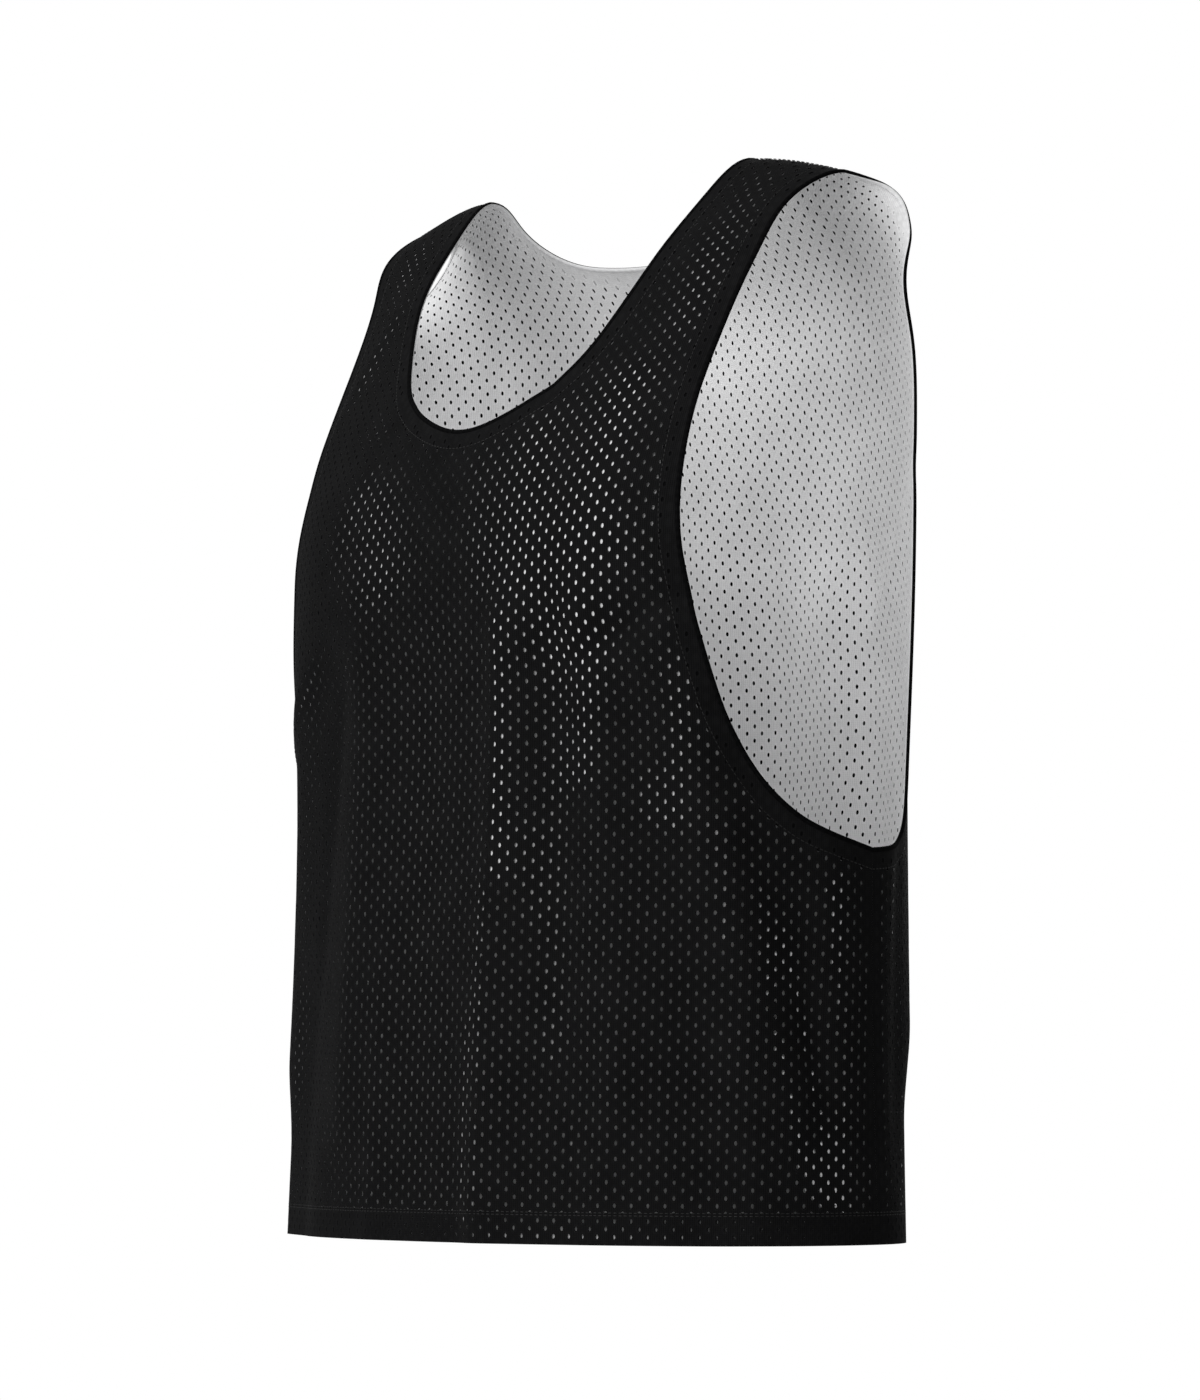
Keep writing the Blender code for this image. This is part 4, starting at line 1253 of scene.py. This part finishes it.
HALF_WHITE, LESS_WHITE = ROLL_SIDES // 2, ROLL_SIDES // 2 + 1
rolls = {"neck_edge": roll("neck_turned_edge", neck_runs(), HALF_WHITE),
         "armhole_edge_left": roll("left_armhole_turned_edge", armhole_runs(1.0), LESS_WHITE),
         "armhole_edge_right": roll("right_armhole_turned_edge", armhole_runs(-1.0), LESS_WHITE)}
print("rolls:", [thing.name for thing in rolls.values()])

# %% [markdown]
# ## Stitches
# A topstitch runs inside every turned edge, two rows hold the hem, and two more flatten the
# shoulder seams. Each is thousands of equal stitches along a line, which is a job for one
# recipe: turn the line into a curve, space points evenly along it, and set a stitch on each. It
# points along the curve and lies flat on the cloth, by a direction stored with the line.

# %% The recipe for a row of stitches
STITCH_LONG, STITCH_WIDE, STITCH_HIGH, STITCH_PACE = 0.0023, 0.00055, 0.00040, 0.0030
STITCH_SIDES, STITCH_FULL = 5, 0.32


def one_stitch():
    turns = 2.0 * pi * np.arange(STITCH_SIDES) / STITCH_SIDES
    ring = np.column_stack([np.zeros(STITCH_SIDES), np.cos(turns) * STITCH_WIDE / 2.0,
                            np.sin(turns) * STITCH_HIGH / 2.0])
    along = np.array([STITCH_LONG, 0.0, 0.0])
    points = np.concatenate([ring - along * STITCH_FULL, ring + along * STITCH_FULL,
                             [-along / 2.0, along / 2.0]])
    low, high = STITCH_SIDES, 2 * STITCH_SIDES
    faces = []
    for k in range(STITCH_SIDES):
        m = (k + 1) % STITCH_SIDES
        faces += [(k, k + low, m + low, m)[::-1], (m, k, high)[::-1],
                  (k + low, m + low, high + 1)[::-1]]
    thing = new_object("OneStitch", points, faces)
    corners = np.empty(len(thing.data.loops), int)
    thing.data.loops.foreach_get("vertex_index", corners)
    uv = np.column_stack([points[:, 0] / STITCH_LONG + 0.5, points[:, 1] / STITCH_LONG + 0.5])
    thing.data.uv_layers.new(name="OFBake").data.foreach_set("uv", uv[corners].ravel())
    made = bmesh.new()
    made.from_mesh(thing.data)
    bmesh.ops.recalc_face_normals(made, faces=made.faces)
    made.to_mesh(thing.data)
    made.free()
    thing.data.shade_smooth()
    return thing


sew = Recipe("Row of stitches")
stitch_object, pace = sew.ask("Stitch", "Object"), sew.ask("Pace", "Float")
yarn = sew.ask("Thread", "Material")
path = sew.node("GeometryNodeMeshToCurve", Mesh=sew.geometry)
path = sew.node("GeometryNodeResampleCurve", {"mode": "LENGTH"}, Curve=path, Length=pace)
facing = sew.node("GeometryNodeInputNamedAttribute", {"data_type": "FLOAT_VECTOR"},
                  output="Attribute", Name="away")
turned_to = sew.node("FunctionNodeAlignRotationToVector", {"axis": "X"},
                     Vector=sew.node("GeometryNodeInputTangent"))
turned_to = sew.node("FunctionNodeAlignRotationToVector", {"axis": "Z", "pivot_axis": "X"},
                     Rotation=turned_to, Vector=facing)
stitches = sew.node("GeometryNodeInstanceOnPoints", Points=path, Rotation=turned_to,
                    Instance=sew.node("GeometryNodeObjectInfo", output="Geometry",
                                      Object=stitch_object))
made = sew.node("GeometryNodeRealizeInstances", Geometry=stitches)
sew.serve(sew.node("GeometryNodeSetMaterial", Geometry=made, Material=yarn))
print("the row of stitches takes", len(sew.tree.nodes), "nodes")

# %% [markdown]
# ## Where the stitches run
# Every row is a line in the flat cut, moved in from its edge, and then worn like the cloth. So
# it follows each fold, outside in black thread and inside in white.

# %% Sew the vest
TOPSTITCH_IN = 0.0098
HEM_ROWS = (0.0172, 0.0188)
SHOULDER_ROWS = (0.0025, 0.0060)
SHOULDER_SHORT = 0.003     # these rows stop this far from the neck and the armhole
THREAD_PROUD = -0.00006    # a stitch's middle lies this little under the cloth's surface


def rows_of(panel):
    """All of a panel's stitched lines, in the cut."""
    edges = turned_lines(panel)
    armhole, _, neck = edges
    rows = [edge + inward(edge) * TOPSTITCH_IN for edge in edges]
    for up in HEM_ROWS:
        end = side_line(panel, up)[-1]
        rows.append(straight(end * (-1.0, 1.0), end))
    for down in SHOULDER_ROWS:
        start, end = neck[0] + (SHOULDER_SHORT, -down), armhole[-1] - (SHOULDER_SHORT, down)
        rows += [straight(start, end), straight(start, end) * (-1.0, 1.0)]
    return rows


def sewn(name, worn, side, lift, material):
    points, away, pairs = [], [], []
    for row in rows_of(worn.panel):
        start = sum(len(some) for some in points)
        at, normals, gap, _ = worn.read(row[:, 0], row[:, 1])
        proud = lift + THREAD_PROUD + (gap if side < 0.0 else 0.0)
        points.append(at + normals * (side * np.broadcast_to(proud, len(at)))[:, None])
        away.append(normals * side)
        pairs += [(start + k, start + k + 1) for k in range(len(row) - 1)]
    line = new_object(name + "_path", np.concatenate(points), [], pairs)
    line.data.attributes.new("away", "FLOAT_VECTOR", "POINT").data.foreach_set(
        "vector", np.concatenate(away).ravel())
    mesh = sew.run(line, Stitch=stitch, Pace=STITCH_PACE, Thread=material)
    discard(line)
    mesh.name = name
    thing = bpy.data.objects.new(name, mesh)
    bpy.context.scene.collection.objects.link(thing)
    print(name, len(mesh.polygons) // len(stitch.data.polygons), "stitches")
    return thing


stitch = one_stitch()
sewing = {}
for place, worn in (("front", worn_front), ("back", worn_back)):
    sewing[sewn(place + "_outer_stitches", worn, 1.0, BLACK_LIFT, black_thread)] = "turned_edge"
    sewing[sewn(place + "_inner_stitches", worn, -1.0, WHITE_LIFT, white_thread)] = "reverse_mesh"
discard(stitch)

# %% [markdown]
# ## Attach everything to the body
# Each piece rides on the one body, and the cloth stands for the solid wall in the same place.

# %% Attach the pieces and hide the solids they replace
SLOTS = {"outer": "outer_mesh", "inner": "reverse_mesh"}
for name, layer in layers.items():
    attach(layer, BODY)
    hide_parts(name)
for node, thing in rolls.items():
    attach(thing, BODY)
    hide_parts(node)
trimmings = {outer_allowance: "turned_edge", inner_allowance: "reverse_mesh"}
trimmings.update({thing: SLOTS[name.split("_")[1]] for name, thing in hem_turns.items()})
trimmings.update(sewing)
for thing, slot in trimmings.items():
    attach(thing, BODY)

for place, worn, other in (("front", worn_front, "back"), ("back", worn_back, "front")):
    outline = cut_outline(worn.panel)
discard(tile)
